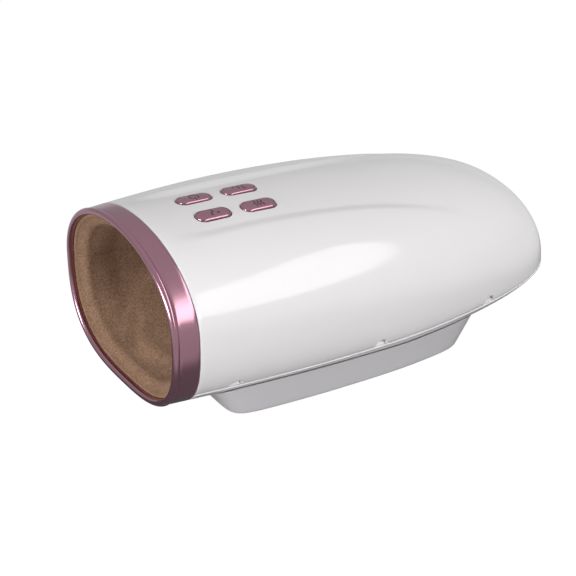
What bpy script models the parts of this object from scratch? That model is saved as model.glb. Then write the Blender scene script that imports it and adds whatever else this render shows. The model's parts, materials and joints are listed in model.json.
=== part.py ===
"""Hand massager: a glossy shell on a foot block, with a hand-sized fabric sleeve in its open end.

World frame: metres, +Z up. The origin is on the table under the middle of the body.
The open mouth faces -Y and the rounded nose faces +Y. A station is a distance back from the
front rim, so it becomes y by taking off half of the body's length. +X is to the right for
someone who looks into the mouth.
"""

from collections import namedtuple
from math import acos, asin, atan, cos, copysign, radians, sin

import bmesh
import bpy
from mathutils import Matrix, Vector

MM = 0.001

# Body: the outside of the two shells
BODY_LENGTH = 264 * MM
MOUTH_HALF_WIDTH = 58.5 * MM
MOUTH_TOP = 108.5 * MM
MOUTH_BOTTOM = 7.5 * MM
MOUTH_WIDEST = 62 * MM
BELLY_STATION = 143 * MM
BELLY_HALF_WIDTH = 71.5 * MM
SHOULDER_STATION = 54 * MM
SHOULDER_TOP = 103.5 * MM
KEEL_STATION = 142 * MM
PARTING_HEIGHT = 24 * MM
PLAN_POWER = 1.8
PLAN_ROOT = 4.6
TOP_POWER = 1.89
TOP_ROOT = 4.37
KEEL_POWER = 1.36
KEEL_ROOT = 2.2
WIDEST_POWER = 1.5
MOUTH_CROWN_POWER = 2.09
NOSE_CROWN_POWER = 2.2
MOUTH_BELLY_POWER = 2.84
REAR_BELLY_POWER = 4.0

# Shells
SHELL_WALL = 2.4 * MM
SEAM = 0.3 * MM
TONGUE_DEPTH = 2.7 * MM
TONGUE_THICKNESS = 1.2 * MM
TONGUE_RISE = 4.6 * MM
TONGUE_ROOT = 2.4 * MM
TONGUE_FRONT = 26 * MM
NOTCH_WIDTH = 6.5 * MM
NOTCH_HEIGHT = 4.2 * MM
NOTCH_STATIONS = (37.5 * MM, 124.5 * MM, 201.5 * MM)

# Recessed panel on top, between two soft creases
PANEL_DROP = 1.9 * MM
CREASE_WIDTH = 9 * MM
CREASE_HALF_SPACING = 25 * MM
CREASE_SPREAD = 17.6 * MM
CREASE_SPREAD_STATION = 200 * MM
CREASE_SPREAD_POWER = 4
PANEL_FULL_STATION = 48 * MM
PANEL_END_START = 160 * MM
PANEL_END = 216 * MM

# Front ring
RING_BAND = 14.5 * MM
RING_LIP = 5 * MM
RING_NOSE = 2.2 * MM
RING_BEAD = 4.2 * MM
RING_BEAD_PROUD = 1.1 * MM
BEAD_SHARES = ((1, 0), (0.85, 0.75), (0.5, 1), (0.14, 0.25))
LIP_SHARES = ((0, 0.26), (0, 0.62), (0.27, 0.88), (1, 1))
RING_FLANGE_END = 22 * MM
RING_FLANGE_DEPTH = 2.8 * MM

# Fabric liner and the hoop that holds its hem
LINER_WALL = 1.8 * MM
LINER_FRONT = 3.2 * MM
LINER_MOUTH_DEPTH = 8.6 * MM
THROAT_STATION = 60 * MM
THROAT_HALF_WIDTH = 47 * MM
THROAT_TOP = 73.5 * MM
THROAT_BOTTOM = 36.5 * MM
THROAT_WIDEST = 55 * MM
NOSE_ROOM = 40 * MM
LINER_END = BODY_LENGTH - NOSE_ROOM
END_ROUNDING = 39 * MM
LINER_END_START = LINER_END - END_ROUNDING
END_HALF_WIDTH = 42 * MM
END_TOP = 56 * MM
END_BOTTOM = 34 * MM
END_WIDEST = 45 * MM
SLEEVE_POWER = 2.6
END_POWER = 2.5
HOOP_FRONT = 9 * MM
HOOP_REAR = 20 * MM

# Rigid trays round the sleeve, with room for the air cells
TRAY_WALL = 1.8 * MM
TRAY_SETBACK = 3 * MM
TRAY_REAR = LINER_END - TRAY_SETBACK
MOUTH_ROOM = 1.2 * MM
SIDE_ROOM = 1.4 * MM
TOP_ROOM = 5.4 * MM
BOTTOM_ROOM = 6.4 * MM
CELL_GAP = 0.3 * MM
HEATER_THICKNESS = 0.8 * MM
TRAY_POST_RADIUS = 3 * MM
TRAY_POST_X = 41 * MM
TRAY_POST_FRONT = 112 * MM
TRAY_POST_FROM_REAR = 25 * MM
TRAY_POST_STATIONS = (TRAY_POST_FRONT, TRAY_REAR - TRAY_POST_FROM_REAR)

# Foot block
FOOT_CLEAR = 0.8 * MM
FOOT_WALL = 2.4 * MM
FOOT_TOP_FRONT = 27 * MM
FOOT_TOP_REAR = 205 * MM
FOOT_BOTTOM_FRONT = 38.5 * MM
FOOT_BOTTOM_REAR = 184 * MM
FOOT_TOP_INSET = 4.2 * MM
FOOT_BOTTOM_INSET = 3.4 * MM
FOOT_EDGE = 2 * MM
FOOT_CORNER_POWER = 10
FOOT_SPACING_POWER = 4
BAY_HALF_WIDTH = 36 * MM
BAY_FRONT = 68 * MM
BAY_REAR = 172 * MM

# Rubber feet and screws
PAD_RADIUS = 6 * MM
PAD_HEIGHT = 1.5 * MM
PAD_FROM_SIDE = 28.5 * MM
PAD_X = BELLY_HALF_WIDTH - PAD_FROM_SIDE
PAD_STATIONS = (58 * MM, 168 * MM)
FIT = 0.3 * MM
SCREW_RADIUS = 1.5 * MM
SCREW_HEAD_RADIUS = 3 * MM
SCREW_HEAD_HEIGHT = 1.7 * MM
SCREW_EDGE = 0.4 * MM
SCREW_BORE_RADIUS = 1.8 * MM
BOSS_RADIUS = 4 * MM
BASE_SCREW_LENGTH = 14 * MM
BASE_SEAT_WEB = 3 * MM
CASE_SCREW_LENGTH = 16 * MM
CASE_SEAT_WEB = 2.5 * MM
CASE_SCREW_STATIONS = (84 * MM, 156 * MM)
CASE_BOSS_TOP = 37 * MM

# Keys, and the switches under them
KEY_LENGTH = 21.5 * MM
KEY_WIDTH = 9.5 * MM
KEY_PITCH_X = 20.2 * MM
KEY_PITCH_Y = 28.5 * MM
KEY_CENTRE_STATION = 68.8 * MM
KEY_PROUD = 1.5 * MM
KEY_EDGE = 0.7 * MM
KEY_FIT = 0.3 * MM
KEY_FLANGE = 1.2 * MM
KEY_FLANGE_GAP = 0.5 * MM
KEY_TRAVEL = 0.5 * MM
KEY_STEM_RADIUS = 1.6 * MM
BOARD_DEPTH = 13 * MM
BOARD_SIDE = 44 * MM
BOARD_THICKNESS = 1.6 * MM
BOARD_POST_RADIUS = 1.8 * MM
BOARD_POST_INSET = 2.6 * MM
SWITCH_SIDE = 6 * MM
SWITCH_HEIGHT = 4.2 * MM
PLUNGER_RADIUS = 1.7 * MM
PLUNGER_HEIGHT = 4 * MM
PLUNGER_PROUD = 1.2 * MM

# Batteries and main board in the foot block
CELL_RADIUS = 9.2 * MM
CELL_LENGTH = 65 * MM
CELL_NUB_RADIUS = 3 * MM
CELL_NUB = 0.8 * MM
BATTERY_STATIONS = (82 * MM, 102 * MM)
BATTERY_HEIGHT = 14 * MM
CRADLE_RISE = 6 * MM
CRADLE_RIM = 1.8 * MM
MAIN_BOARD_LENGTH = 48 * MM
MAIN_BOARD_WIDTH = 62 * MM
MAIN_BOARD_FRONT = 119 * MM
MAIN_BOARD_HEIGHT = 8 * MM
CHIP_HEIGHT = 2.4 * MM
BOARD_POST_SHARES = (0.12, 0.88)

# Air pump, valves, manifold and hoses behind and under the sleeve
PUMP_FROM_NOSE = 18 * MM
PUMP_HEIGHT = 36 * MM
PUMP_RADIUS = 11 * MM
MOTOR_LENGTH = 24 * MM
MOTOR_END_X = -32 * MM
HEAD_LENGTH = 16 * MM
CHAMBER_RADIUS = 7 * MM
CHAMBER_LENGTH = 11 * MM
SHAFT_RADIUS = 1.5 * MM
SHAFT_BORE_RADIUS = 2 * MM
SHAFT_REACH = 14 * MM
CAM_RADIUS = 4.5 * MM
CAM_THICKNESS = 5 * MM
CAM_THROW = 1 * MM
PUMP_CRADLE_LENGTH = 14 * MM
PUMP_CRADLE_WIDTH = 14 * MM
PUMP_CRADLE_TOP = 31 * MM
MANIFOLD_FROM_PUMP = 28 * MM
MANIFOLD_LENGTH = 44 * MM
MANIFOLD_DEPTH = 10 * MM
MANIFOLD_BOTTOM = 15.6 * MM
MANIFOLD_HEIGHT = 7.6 * MM
MANIFOLD_POST_RADIUS = 3 * MM
MANIFOLD_POST_X = 16 * MM
VALVE_LENGTH = 20 * MM
VALVE_WIDTH = 11 * MM
VALVE_HEIGHT = 7.6 * MM
VALVE_X = 12 * MM
VALVE_PIN_RADIUS = 1.5 * MM
VALVE_PIN_LENGTH = 9 * MM
VALVE_PIN_PROUD = 2.2 * MM
VALVE_PIN_TRAVEL = 1 * MM
HOSE_RADIUS = 1.8 * MM
HOSE_X = 20 * MM
HOSE_STRAIGHT = 3.5 * MM
HOSE_TURN = 3 * MM
HOSE_PORT_HEIGHT = 19.4 * MM
HEAD_PORT_HEIGHT = 28 * MM

# Charge socket in the rear of the upper shell
SOCKET_X = 24 * MM
SOCKET_HEIGHT = 34 * MM
SOCKET_RADIUS = 3.8 * MM
SOCKET_BORE_RADIUS = 2.8 * MM
SOCKET_BORE_DEPTH = 9 * MM
SOCKET_PIN_RADIUS = 1 * MM
SOCKET_PIN_LENGTH = 7 * MM
SOCKET_BOX_SIDE = 11 * MM
SOCKET_BOX_DEPTH = 11 * MM
SOCKET_RECESS = 0.6 * MM

# Edge rounding of small boxes, and how far a cutter runs past what it cuts
EDGE = 0.6 * MM
OVERRUN = 2 * MM

# Where the lofts have their rows and columns
FRONT_ROW_SHARES = (0, 0.09, 0.2, 0.33, 0.48, 0.65, 0.82, 1)
REAR_ROW_DEGREES = (15, 29, 42, 54, 64, 73, 80, 85.5)
SIDE_COLUMN_SHARES = (0, 0.12, 0.26, 0.4, 0.55, 0.7, 0.85, 1)
CREASE_LIMIT_SHARES = (0.8, 0.68, 0.55)
CROWN_COLUMN_SHARES = (0.5, 1)
BELLY_COLUMN_SHARES = (0.18, 0.36, 0.54, 0.75, 1)
FUNNEL_ROW_SHARES = (0, 0.12, 0.28, 0.48, 0.72, 1)
SLEEVE_ROW_SHARES = (0.2, 0.4, 0.6, 0.8, 1)
SLEEVE_END_DEGREES = (25, 48, 68, 82)
SLEEVE_COLUMNS = 32
CELL_ROWS = slice(4, 12)
UPPER_CELL_COLUMNS = (3, 13)
LOWER_CELL_COLUMNS = (19, 29)

Section = namedtuple("Section", "half_width top bottom widest crown_power belly_power")


def clamp(value, low=0.0, high=1.0):
    return max(low, min(high, value))


def mix(first, second, share):
    return first + (second - first) * share


def smooth(share):
    share = clamp(share)
    return share * share * (3 - 2 * share)


def rounded_end(share, power, root):
    """Falls from 1 to 0 as share goes from 0 to 1, like the quarter of a superellipse."""
    return (1 - clamp(share) ** power) ** (1 / root)


def world_y(station):
    return station - BODY_LENGTH / 2


# Cross-sections

def body_section(station, depth=0.0):
    """Section of the body at a station, drawn in by a depth from its outside."""
    length = BODY_LENGTH - depth
    front = clamp(1 - station / BELLY_STATION)
    half_width = BELLY_HALF_WIDTH - (BELLY_HALF_WIDTH - MOUTH_HALF_WIDTH) * front ** 2 - depth
    half_width *= rounded_end((station - BELLY_STATION) / (length - BELLY_STATION), PLAN_POWER, PLAN_ROOT)
    ridge = MOUTH_TOP - (MOUTH_TOP - SHOULDER_TOP) * station / SHOULDER_STATION - depth
    fall = rounded_end((station - SHOULDER_STATION) / (length - SHOULDER_STATION), TOP_POWER, TOP_ROOT)
    rise = rounded_end((station - KEEL_STATION) / (length - KEEL_STATION), KEEL_POWER, KEEL_ROOT)
    along = clamp(station / length)
    return Section(
        half_width,
        PARTING_HEIGHT + (ridge - PARTING_HEIGHT) * fall,
        PARTING_HEIGHT - (PARTING_HEIGHT - MOUTH_BOTTOM - depth) * rise,
        mix(MOUTH_WIDEST, PARTING_HEIGHT, along ** WIDEST_POWER),
        mix(MOUTH_CROWN_POWER, NOSE_CROWN_POWER, along),
        mix(MOUTH_BELLY_POWER, REAR_BELLY_POWER, clamp(station / BELLY_STATION)),
    )


def grown(section, side, top, bottom):
    return section._replace(
        half_width=section.half_width + side,
        top=section.top + top,
        bottom=section.bottom - bottom,
    )


def sleeve_section(station):
    """Inside of the hand space, without its closed end."""
    mouth = body_section(LINER_FRONT, LINER_MOUTH_DEPTH)
    mouth = mouth._replace(crown_power=SLEEVE_POWER, belly_power=SLEEVE_POWER)
    throat = Section(THROAT_HALF_WIDTH, THROAT_TOP, THROAT_BOTTOM, THROAT_WIDEST, SLEEVE_POWER, SLEEVE_POWER)
    end = Section(END_HALF_WIDTH, END_TOP, END_BOTTOM, END_WIDEST, SLEEVE_POWER, SLEEVE_POWER)
    if station < THROAT_STATION:
        share = smooth((station - LINER_FRONT) / (THROAT_STATION - LINER_FRONT))
        section = Section(*(mix(a, b, share) for a, b in zip(mouth, throat)))
        crown = mix(body_section(LINER_FRONT).crown_power, SLEEVE_POWER, share)
        belly = mix(body_section(LINER_FRONT).belly_power, SLEEVE_POWER, share)
        return section._replace(crown_power=crown, belly_power=belly)
    share = smooth((station - THROAT_STATION) / (LINER_END - THROAT_STATION))
    return Section(*(mix(a, b, share) for a, b in zip(throat, end)))


def liner_section(station, grow=0.0):
    """Section of the sleeve with its rounded end, grown outwards."""
    section = grown(sleeve_section(station), grow, grow, grow)
    scale = rounded_end((station - LINER_END_START) / (LINER_END + grow - LINER_END_START), END_POWER, END_POWER)
    return section._replace(
        half_width=section.half_width * scale,
        top=section.widest + (section.top - section.widest) * scale,
        bottom=section.widest + (section.bottom - section.widest) * scale,
    )


def tray_section(station, inset=0.0):
    """Outside of the trays: the sleeve, its wall, the cells' room and the tray's own wall."""
    share = smooth((station - HOOP_REAR) / (THROAT_STATION - HOOP_REAR))
    wall = LINER_WALL + TRAY_WALL - inset
    return grown(
        sleeve_section(station),
        wall + mix(MOUTH_ROOM, SIDE_ROOM, share),
        wall + mix(MOUTH_ROOM, TOP_ROOM, share),
        wall + mix(MOUTH_ROOM, BOTTOM_ROOM, share),
    )


# Points on a section

def crease_centre(station):
    spread = (station / CREASE_SPREAD_STATION) ** CREASE_SPREAD_POWER
    return CREASE_HALF_SPACING + CREASE_SPREAD * spread


def panel_drop(station, x):
    """How far the recessed panel lies under the full crown here."""
    start = smooth((station - RING_BAND) / (PANEL_FULL_STATION - RING_BAND))
    end = smooth((PANEL_END - station) / (PANEL_END - PANEL_END_START))
    across = smooth((crease_centre(station) + CREASE_WIDTH / 2 - abs(x)) / CREASE_WIDTH)
    return PANEL_DROP * start * end * across


def section_point(section, station, angle, recessed=False):
    """Point of a superellipse whose two halves meet at the widest line; angle 0 is the +X side."""
    across = cos(angle)
    up = sin(angle)
    power = section.crown_power if up >= 0 else section.belly_power
    reach = section.top - section.widest if up >= 0 else section.widest - section.bottom
    x = section.half_width * copysign(abs(across) ** (2 / power), across)
    z = section.widest + reach * copysign(abs(up) ** (2 / power), up)
    if recessed and up > 0:
        z -= panel_drop(station, x)
    return Vector((x, world_y(station), z))


def angle_at_height(section, height):
    if height >= section.widest:
        share = clamp((height - section.widest) / (section.top - section.widest))
        return asin(share ** (section.crown_power / 2))
    share = clamp((section.widest - height) / (section.widest - section.bottom))
    return -asin(share ** (section.belly_power / 2))


def angle_at_x(section, x, power):
    return acos(clamp(x / section.half_width) ** (power / 2))


def half_width_at(station, height, depth=0.0):
    section = body_section(station, depth)
    return section_point(section, station, angle_at_height(section, height)).x


def panel_height(station, x):
    """Height of the outside of the top at a place on it."""
    section = body_section(station)
    angle = angle_at_x(section, abs(x), section.crown_power)
    return section_point(section, station, angle, recessed=True).z


def underside_height(station, x, depth=0.0):
    section = body_section(station, depth)
    return section_point(section, station, -angle_at_x(section, abs(x), section.belly_power)).z


def nose_station(x, height, depth=0.0):
    """Station where the rounded nose reaches a place across and up."""
    low, high = BELLY_STATION, BODY_LENGTH - depth
    for _ in range(40):
        middle = (low + high) / 2
        if height < body_section(middle, depth).top and half_width_at(middle, height, depth) > x:
            low = middle
        else:
            high = middle
    return low


# Columns and rows of the lofts

def upper_angles(section, station, edge_height):
    """Columns from the +X parting line over the top to the -X one, with some on each crease."""
    low = angle_at_height(section, edge_height)
    creases = []
    for offset, limit_share in zip((0.5, 0, -0.5), CREASE_LIMIT_SHARES):
        x = min(crease_centre(station) + offset * CREASE_WIDTH, limit_share * section.half_width)
        creases.append(angle_at_x(section, x, section.crown_power))
    half = [mix(low, creases[0], share) for share in SIDE_COLUMN_SHARES]
    half += creases[1:]
    half += [mix(creases[2], radians(90), share) for share in CROWN_COLUMN_SHARES]
    return half + [radians(180) - angle for angle in reversed(half[:-1])]


def lower_angles(section, edge_height):
    """Columns from the -X parting line under the belly to the +X one."""
    low = angle_at_height(section, edge_height)
    half = [low] + [mix(low, radians(-90), share) for share in BELLY_COLUMN_SHARES]
    return [radians(-180) - angle for angle in half] + list(reversed(half[:-1]))


def around_angles(section, station):
    upper = upper_angles(section, station, PARTING_HEIGHT)
    return upper + lower_angles(section, PARTING_HEIGHT)[1:-1]


def sleeve_angles(first=0, last=SLEEVE_COLUMNS - 1):
    """Evenly spread columns of everything that lies round the hand space."""
    return [radians(360) * column / SLEEVE_COLUMNS for column in range(first, last + 1)]


def body_stations(depth, front):
    """Rows that crowd together towards the nose."""
    reach = BODY_LENGTH - depth - BELLY_STATION
    stations = [mix(front, BELLY_STATION, share) for share in FRONT_ROW_SHARES]
    return stations + [BELLY_STATION + reach * sin(radians(turn)) ** (2 / PLAN_POWER) for turn in REAR_ROW_DEGREES]


def upper_rows(depth, front, edge_height):
    rows = []
    for station in body_stations(depth, front):
        section = body_section(station, depth)
        angles = upper_angles(section, station, edge_height)
        rows.append([section_point(section, station, angle, recessed=True) for angle in angles])
    return rows


def lower_rows(depth, front, edge_height):
    rows = []
    for station in body_stations(depth, front):
        section = body_section(station, depth)
        rows.append([section_point(section, station, angle) for angle in lower_angles(section, edge_height)])
    return rows


def loft_rows(section_at, stations, angles):
    return [[section_point(section_at(station), station, angle) for angle in angles] for station in stations]


# Objects

def clear_scene():
    for obj in list(bpy.data.objects):
        bpy.data.objects.remove(obj, do_unlink=True)


def make_collection(name):
    group = bpy.data.collections.new(name)
    bpy.context.scene.collection.children.link(group)
    return group


def linear(value):
    return value / 12.92 if value <= 0.04045 else ((value + 0.055) / 1.055) ** 2.4


def make_material(name, hex_colour, roughness, metallic=0.0):
    material = bpy.data.materials.new(name)
    material.use_nodes = True
    shader = material.node_tree.nodes["Principled BSDF"]
    channels = [int(hex_colour[start:start + 2], 16) / 255 for start in (0, 2, 4)]
    shader.inputs["Base Color"].default_value = (*(linear(value) for value in channels), 1)
    shader.inputs["Roughness"].default_value = roughness
    shader.inputs["Metallic"].default_value = metallic
    return material


def adopt(obj, name, group, material=None):
    """Name an object and move it to its collection."""
    obj.name = name
    obj.data.name = name
    for old in list(obj.users_collection):
        old.objects.unlink(obj)
    group.objects.link(obj)
    if group is cutters:
        obj.hide_render = True
        obj.display_type = "WIRE"
    if material:
        obj.data.materials.clear()
        obj.data.materials.append(material)
    return obj


def object_from_faces(name, points, faces, group, material=None):
    mesh = bpy.data.meshes.new(name)
    mesh.from_pydata([tuple(point) for point in points], [], faces)
    shape = bmesh.new()
    shape.from_mesh(mesh)
    bmesh.ops.recalc_face_normals(shape, faces=shape.faces)
    shape.to_mesh(mesh)
    shape.free()
    mesh.shade_smooth()
    mesh.set_sharp_from_angle(angle=radians(35))
    return adopt(bpy.data.objects.new(name, mesh), name, group, material)


def wall_between(name, outer, inner, group, material=None, closed=False, tips=None):
    """A wall between two lofts that have the same rows and columns.

    closed: the columns run all the way round. tips: the outer and the inner point in which
    the last row ends; without them the wall has an open rear edge.
    """
    rows, columns = len(outer), len(outer[0])
    points = [point for row in outer for point in row] + [point for row in inner for point in row]
    skip = rows * columns
    around = columns if closed else columns - 1
    faces = []
    for row in range(rows - 1):
        for column in range(around):
            a = row * columns + column
            b = row * columns + (column + 1) % columns
            faces.append((a, b, b + columns, a + columns))
            faces.append((skip + a, skip + a + columns, skip + b + columns, skip + b))
    last = (rows - 1) * columns
    for column in range(around):
        following = (column + 1) % columns
        faces.append((column, skip + column, skip + following, following))
        if tips:
            faces.append((last + column, last + following, 2 * skip))
            faces.append((skip + last + column, 2 * skip + 1, skip + last + following))
        else:
            faces.append((last + column, last + following, skip + last + following, skip + last + column))
    if not closed:
        for column in (0, columns - 1):
            for row in range(rows - 1):
                a = row * columns + column
                faces.append((a, a + columns, skip + a + columns, skip + a))
            if tips:
                faces.append((last + column, 2 * skip, 2 * skip + 1, skip + last + column))
    if tips:
        points += list(tips)
    return object_from_faces(name, points, faces, group, material)


def solid_between(name, rows, group, material=None, tip=None):
    """A solid whose rows are closed loops, capped at both ends or ended in a tip."""
    count, columns = len(rows), len(rows[0])
    points = [point for row in rows for point in row]
    faces = [tuple(range(columns))]
    for row in range(count - 1):
        for column in range(columns):
            a = row * columns + column
            b = row * columns + (column + 1) % columns
            faces.append((a, b, b + columns, a + columns))
    last = (count - 1) * columns
    if tip:
        points.append(tip)
        faces += [(last + column, last + (column + 1) % columns, len(points) - 1) for column in range(columns)]
    else:
        faces.append(tuple(last + column for column in range(columns)))
    return object_from_faces(name, points, faces, group, material)


def body_solid(name, depth, front):
    """The body filled solid, drawn in by a depth: a tool for clipping and cutting."""
    rows = []
    for station in body_stations(depth, front):
        section = body_section(station, depth)
        angles = around_angles(section, station)
        rows.append([section_point(section, station, angle, recessed=True) for angle in angles])
    tip = Vector((0, world_y(BODY_LENGTH - depth), PARTING_HEIGHT))
    return solid_between(name, rows, cutters, tip=tip)


def box(name, size, centre, group, material=None, edge=0.0):
    bpy.ops.mesh.primitive_cube_add(size=1, location=centre)
    obj = bpy.context.object
    obj.data.transform(Matrix.Diagonal((*size, 1)))
    adopt(obj, name, group, material)
    if edge:
        bevel = obj.modifiers.new("rounded edges", "BEVEL")
        bevel.width = edge
        bevel.segments = 2
    return obj


def rod(name, radius, start, end, group, material=None, sides=16):
    """A cylinder from one point to another."""
    start, end = Vector(start), Vector(end)
    bpy.ops.mesh.primitive_cylinder_add(vertices=sides, radius=radius, depth=(end - start).length)
    obj = bpy.context.object
    obj.location = (start + end) / 2
    obj.rotation_euler = (end - start).to_track_quat("Z", "Y").to_euler()
    obj.data.shade_smooth()
    obj.data.set_sharp_from_angle(angle=radians(35))
    return adopt(obj, name, group, material)


def turned(name, profile, group, material=None, sides=16):
    """A profile of (radius, height) points, run down the outer side, turned about local Z."""
    mesh = bpy.data.meshes.new(name)
    mesh.from_pydata([(radius, 0, height) for radius, height in profile], [(i, i + 1) for i in range(len(profile) - 1)], [])
    obj = adopt(bpy.data.objects.new(name, mesh), name, group, material)
    screw = obj.modifiers.new("turned", "SCREW")
    screw.steps = sides
    screw.render_steps = sides
    screw.use_merge_vertices = True
    screw.merge_threshold = 0.01 * MM
    return obj


def pill_outline(length, width, steps=6):
    """A slot shape along local Y."""
    radius = width / 2
    middle = length / 2 - radius
    points = []
    for end in (1, -1):
        for step in range(steps + 1):
            angle = radians(180) * step / steps
            points.append((end * radius * cos(angle), end * (middle + radius * sin(angle))))
    return points


def plate(name, outline, bottom, top, group, material=None):
    """A flat outline in the local XY plane, made thick from bottom to top."""
    curve = bpy.data.curves.new(name, "CURVE")
    curve.dimensions = "2D"
    curve.fill_mode = "BOTH"
    curve.extrude = (top - bottom) / 2
    spline = curve.splines.new("POLY")
    spline.points.add(len(outline) - 1)
    for point, (x, y) in zip(spline.points, outline):
        point.co = (x, y, 0, 1)
    spline.use_cyclic_u = True
    drawn = bpy.data.objects.new(name, curve)
    bpy.context.scene.collection.objects.link(drawn)
    obj = mesh_of(drawn, name)
    for vertex in obj.data.vertices:
        vertex.co.z += (top + bottom) / 2
    return adopt(obj, name, group, material)


def mesh_of(drawn, name):
    """A curve object made a mesh, with its loose caps welded."""
    graph = bpy.context.evaluated_depsgraph_get()
    mesh = bpy.data.meshes.new_from_object(drawn.evaluated_get(graph))
    shape = bmesh.new()
    shape.from_mesh(mesh)
    bmesh.ops.remove_doubles(shape, verts=shape.verts, dist=0.01 * MM)
    bmesh.ops.recalc_face_normals(shape, faces=shape.faces)
    shape.to_mesh(mesh)
    shape.free()
    obj = bpy.data.objects.new(name, mesh)
    obj.matrix_world = drawn.matrix_world
    bpy.data.objects.remove(drawn, do_unlink=True)
    bpy.context.scene.collection.objects.link(obj)
    return obj


def boolean(target, tool, operation="DIFFERENCE"):
    modifier = target.modifiers.new(tool.name, "BOOLEAN")
    modifier.operation = operation
    modifier.object = tool
    modifier.solver = "EXACT"
    return target


def place(obj, location, tilt=0.0):
    obj.location = location
    obj.rotation_euler = (tilt, 0, 0)
    return obj


# Shells

def shell_front():
    return RING_BAND + SEAM


def make_tongue(side):
    """Rib on the lower shell that stands inside the upper one and shows through the notches."""
    inner = TONGUE_DEPTH + TONGUE_THICKNESS
    middle = SHELL_WALL / 2
    corners = (
        (middle, -TONGUE_ROOT), (middle, -EDGE), (TONGUE_DEPTH, -EDGE),
        (TONGUE_DEPTH, TONGUE_RISE), (inner, TONGUE_RISE), (inner, -TONGUE_ROOT),
    )
    rows = []
    front = shell_front()
    kept = [index for index, station in enumerate(body_stations(0, front)) if station > TONGUE_FRONT]
    for index in kept[:-4]:
        row = []
        for depth, rise in corners:
            station = body_stations(depth, front)[index]
            x = half_width_at(station, PARTING_HEIGHT + rise, depth)
            row.append(Vector((side * x, world_y(station), PARTING_HEIGHT + rise)))
        rows.append(row)
    return solid_between(f"tongue_{side}", rows, cutters)


def notch_outline(steps=7):
    """A half-round arch: local X runs along the seam, local Y up."""
    radius = NOTCH_WIDTH / 2
    straight = NOTCH_HEIGHT - radius
    arch = [(radius * cos(radians(180) * step / steps), straight + radius * sin(radians(180) * step / steps))
            for step in range(steps + 1)]
    return [(radius, -OVERRUN)] + arch + [(-radius, -OVERRUN)]


def cut_notches(shell):
    reach = SHELL_WALL + TONGUE_DEPTH
    for index, station in enumerate(NOTCH_STATIONS):
        for side in (1, -1):
            notch = plate(f"notch_{index}_{side}", notch_outline(), -reach, reach, cutters)
            x = half_width_at(station, PARTING_HEIGHT)
            notch.location = (side * x, world_y(station), PARTING_HEIGHT)
            notch.rotation_euler = (radians(90), 0, radians(90))
            boolean(shell, notch)


def case_screw_x(station):
    outside = half_width_at(station, PARTING_HEIGHT) - FOOT_TOP_INSET
    return outside - FOOT_WALL - SCREW_HEAD_RADIUS - 4 * FIT


def case_seat(station):
    return underside_height(station, case_screw_x(station)) + CASE_SEAT_WEB


def make_upper_shell():
    edge = PARTING_HEIGHT + SEAM / 2
    front = shell_front()
    tips = [Vector((0, world_y(BODY_LENGTH - depth), edge)) for depth in (0, SHELL_WALL)]
    shell = wall_between("upper_shell", upper_rows(0, front, edge), upper_rows(SHELL_WALL, front, edge),
                         parts, white, tips=tips)
    add_case_bosses(shell)
    add_board_posts(shell)
    cut_key_holes(shell)
    cut_notches(shell)
    y = world_y(nose_station(SOCKET_X, SOCKET_HEIGHT))
    reach = SHELL_WALL + OVERRUN
    hole = rod("socket_hole", SOCKET_RADIUS + FIT, (SOCKET_X, y - 2 * reach, SOCKET_HEIGHT),
               (SOCKET_X, y + 2 * reach, SOCKET_HEIGHT), cutters)
    return boolean(shell, hole)


def add_case_bosses(shell):
    """Screw pillars on the upper shell, each with a web to the side wall above the tongue."""
    bottom = PARTING_HEIGHT + SEAM / 2
    web_bottom = PARTING_HEIGHT + TONGUE_RISE + 2 * FIT
    for station in CASE_SCREW_STATIONS:
        for side in (1, -1):
            x = side * case_screw_x(station)
            y = world_y(station)
            name = f"case_boss_{station / MM:.0f}_{side}"
            wall_x = side * half_width_at(station, CASE_BOSS_TOP)
            web = box(name + "_web", (abs(wall_x - x), BOSS_RADIUS / 2, CASE_BOSS_TOP - web_bottom),
                      ((x + wall_x) / 2, y, (CASE_BOSS_TOP + web_bottom) / 2), cutters)
            boolean(web, clip, "INTERSECT")
            boss = rod(name, BOSS_RADIUS, (x, y, bottom), (x, y, CASE_BOSS_TOP + EDGE), cutters)
            bore = rod(name + "_bore", SCREW_BORE_RADIUS, (x, y, bottom - OVERRUN),
                       (x, y, CASE_BOSS_TOP - OVERRUN), cutters)
            boolean(shell, web, "UNION")
            boolean(shell, boss, "UNION")
            boolean(shell, bore)


def make_lower_shell():
    edge = PARTING_HEIGHT - SEAM / 2
    front = shell_front()
    tips = [Vector((0, world_y(BODY_LENGTH - depth), edge)) for depth in (0, SHELL_WALL)]
    shell = wall_between("lower_shell", lower_rows(0, front, edge), lower_rows(SHELL_WALL, front, edge),
                         parts, white, tips=tips)
    bay = box("battery_bay", (2 * BAY_HALF_WIDTH, BAY_REAR - BAY_FRONT, PARTING_HEIGHT),
              (0, world_y((BAY_FRONT + BAY_REAR) / 2), PARTING_HEIGHT / 2), cutters)
    boolean(shell, bay)
    for side in (1, -1):
        boolean(shell, make_tongue(side), "UNION")
    for station in TRAY_POST_STATIONS:
        for side in (1, -1):
            x, y = side * TRAY_POST_X, world_y(station)
            post = rod(f"tray_post_{station / MM:.0f}_{side}", TRAY_POST_RADIUS, (x, y, MOUTH_BOTTOM),
                       (x, y, THROAT_WIDEST), cutters)
            boolean(post, clip, "INTERSECT")
            boolean(post, tray_room)
            boolean(shell, post, "UNION")
    for side in (1, -1):
        x, y = side * MANIFOLD_POST_X, world_y(manifold_station())
        post = rod(f"manifold_post_{side}", MANIFOLD_POST_RADIUS, (x, y, MOUTH_BOTTOM),
                   (x, y, MANIFOLD_BOTTOM - FIT), cutters)
        boolean(post, clip, "INTERSECT")
        boolean(shell, post, "UNION")
    add_screw_columns(shell)
    return shell


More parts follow.
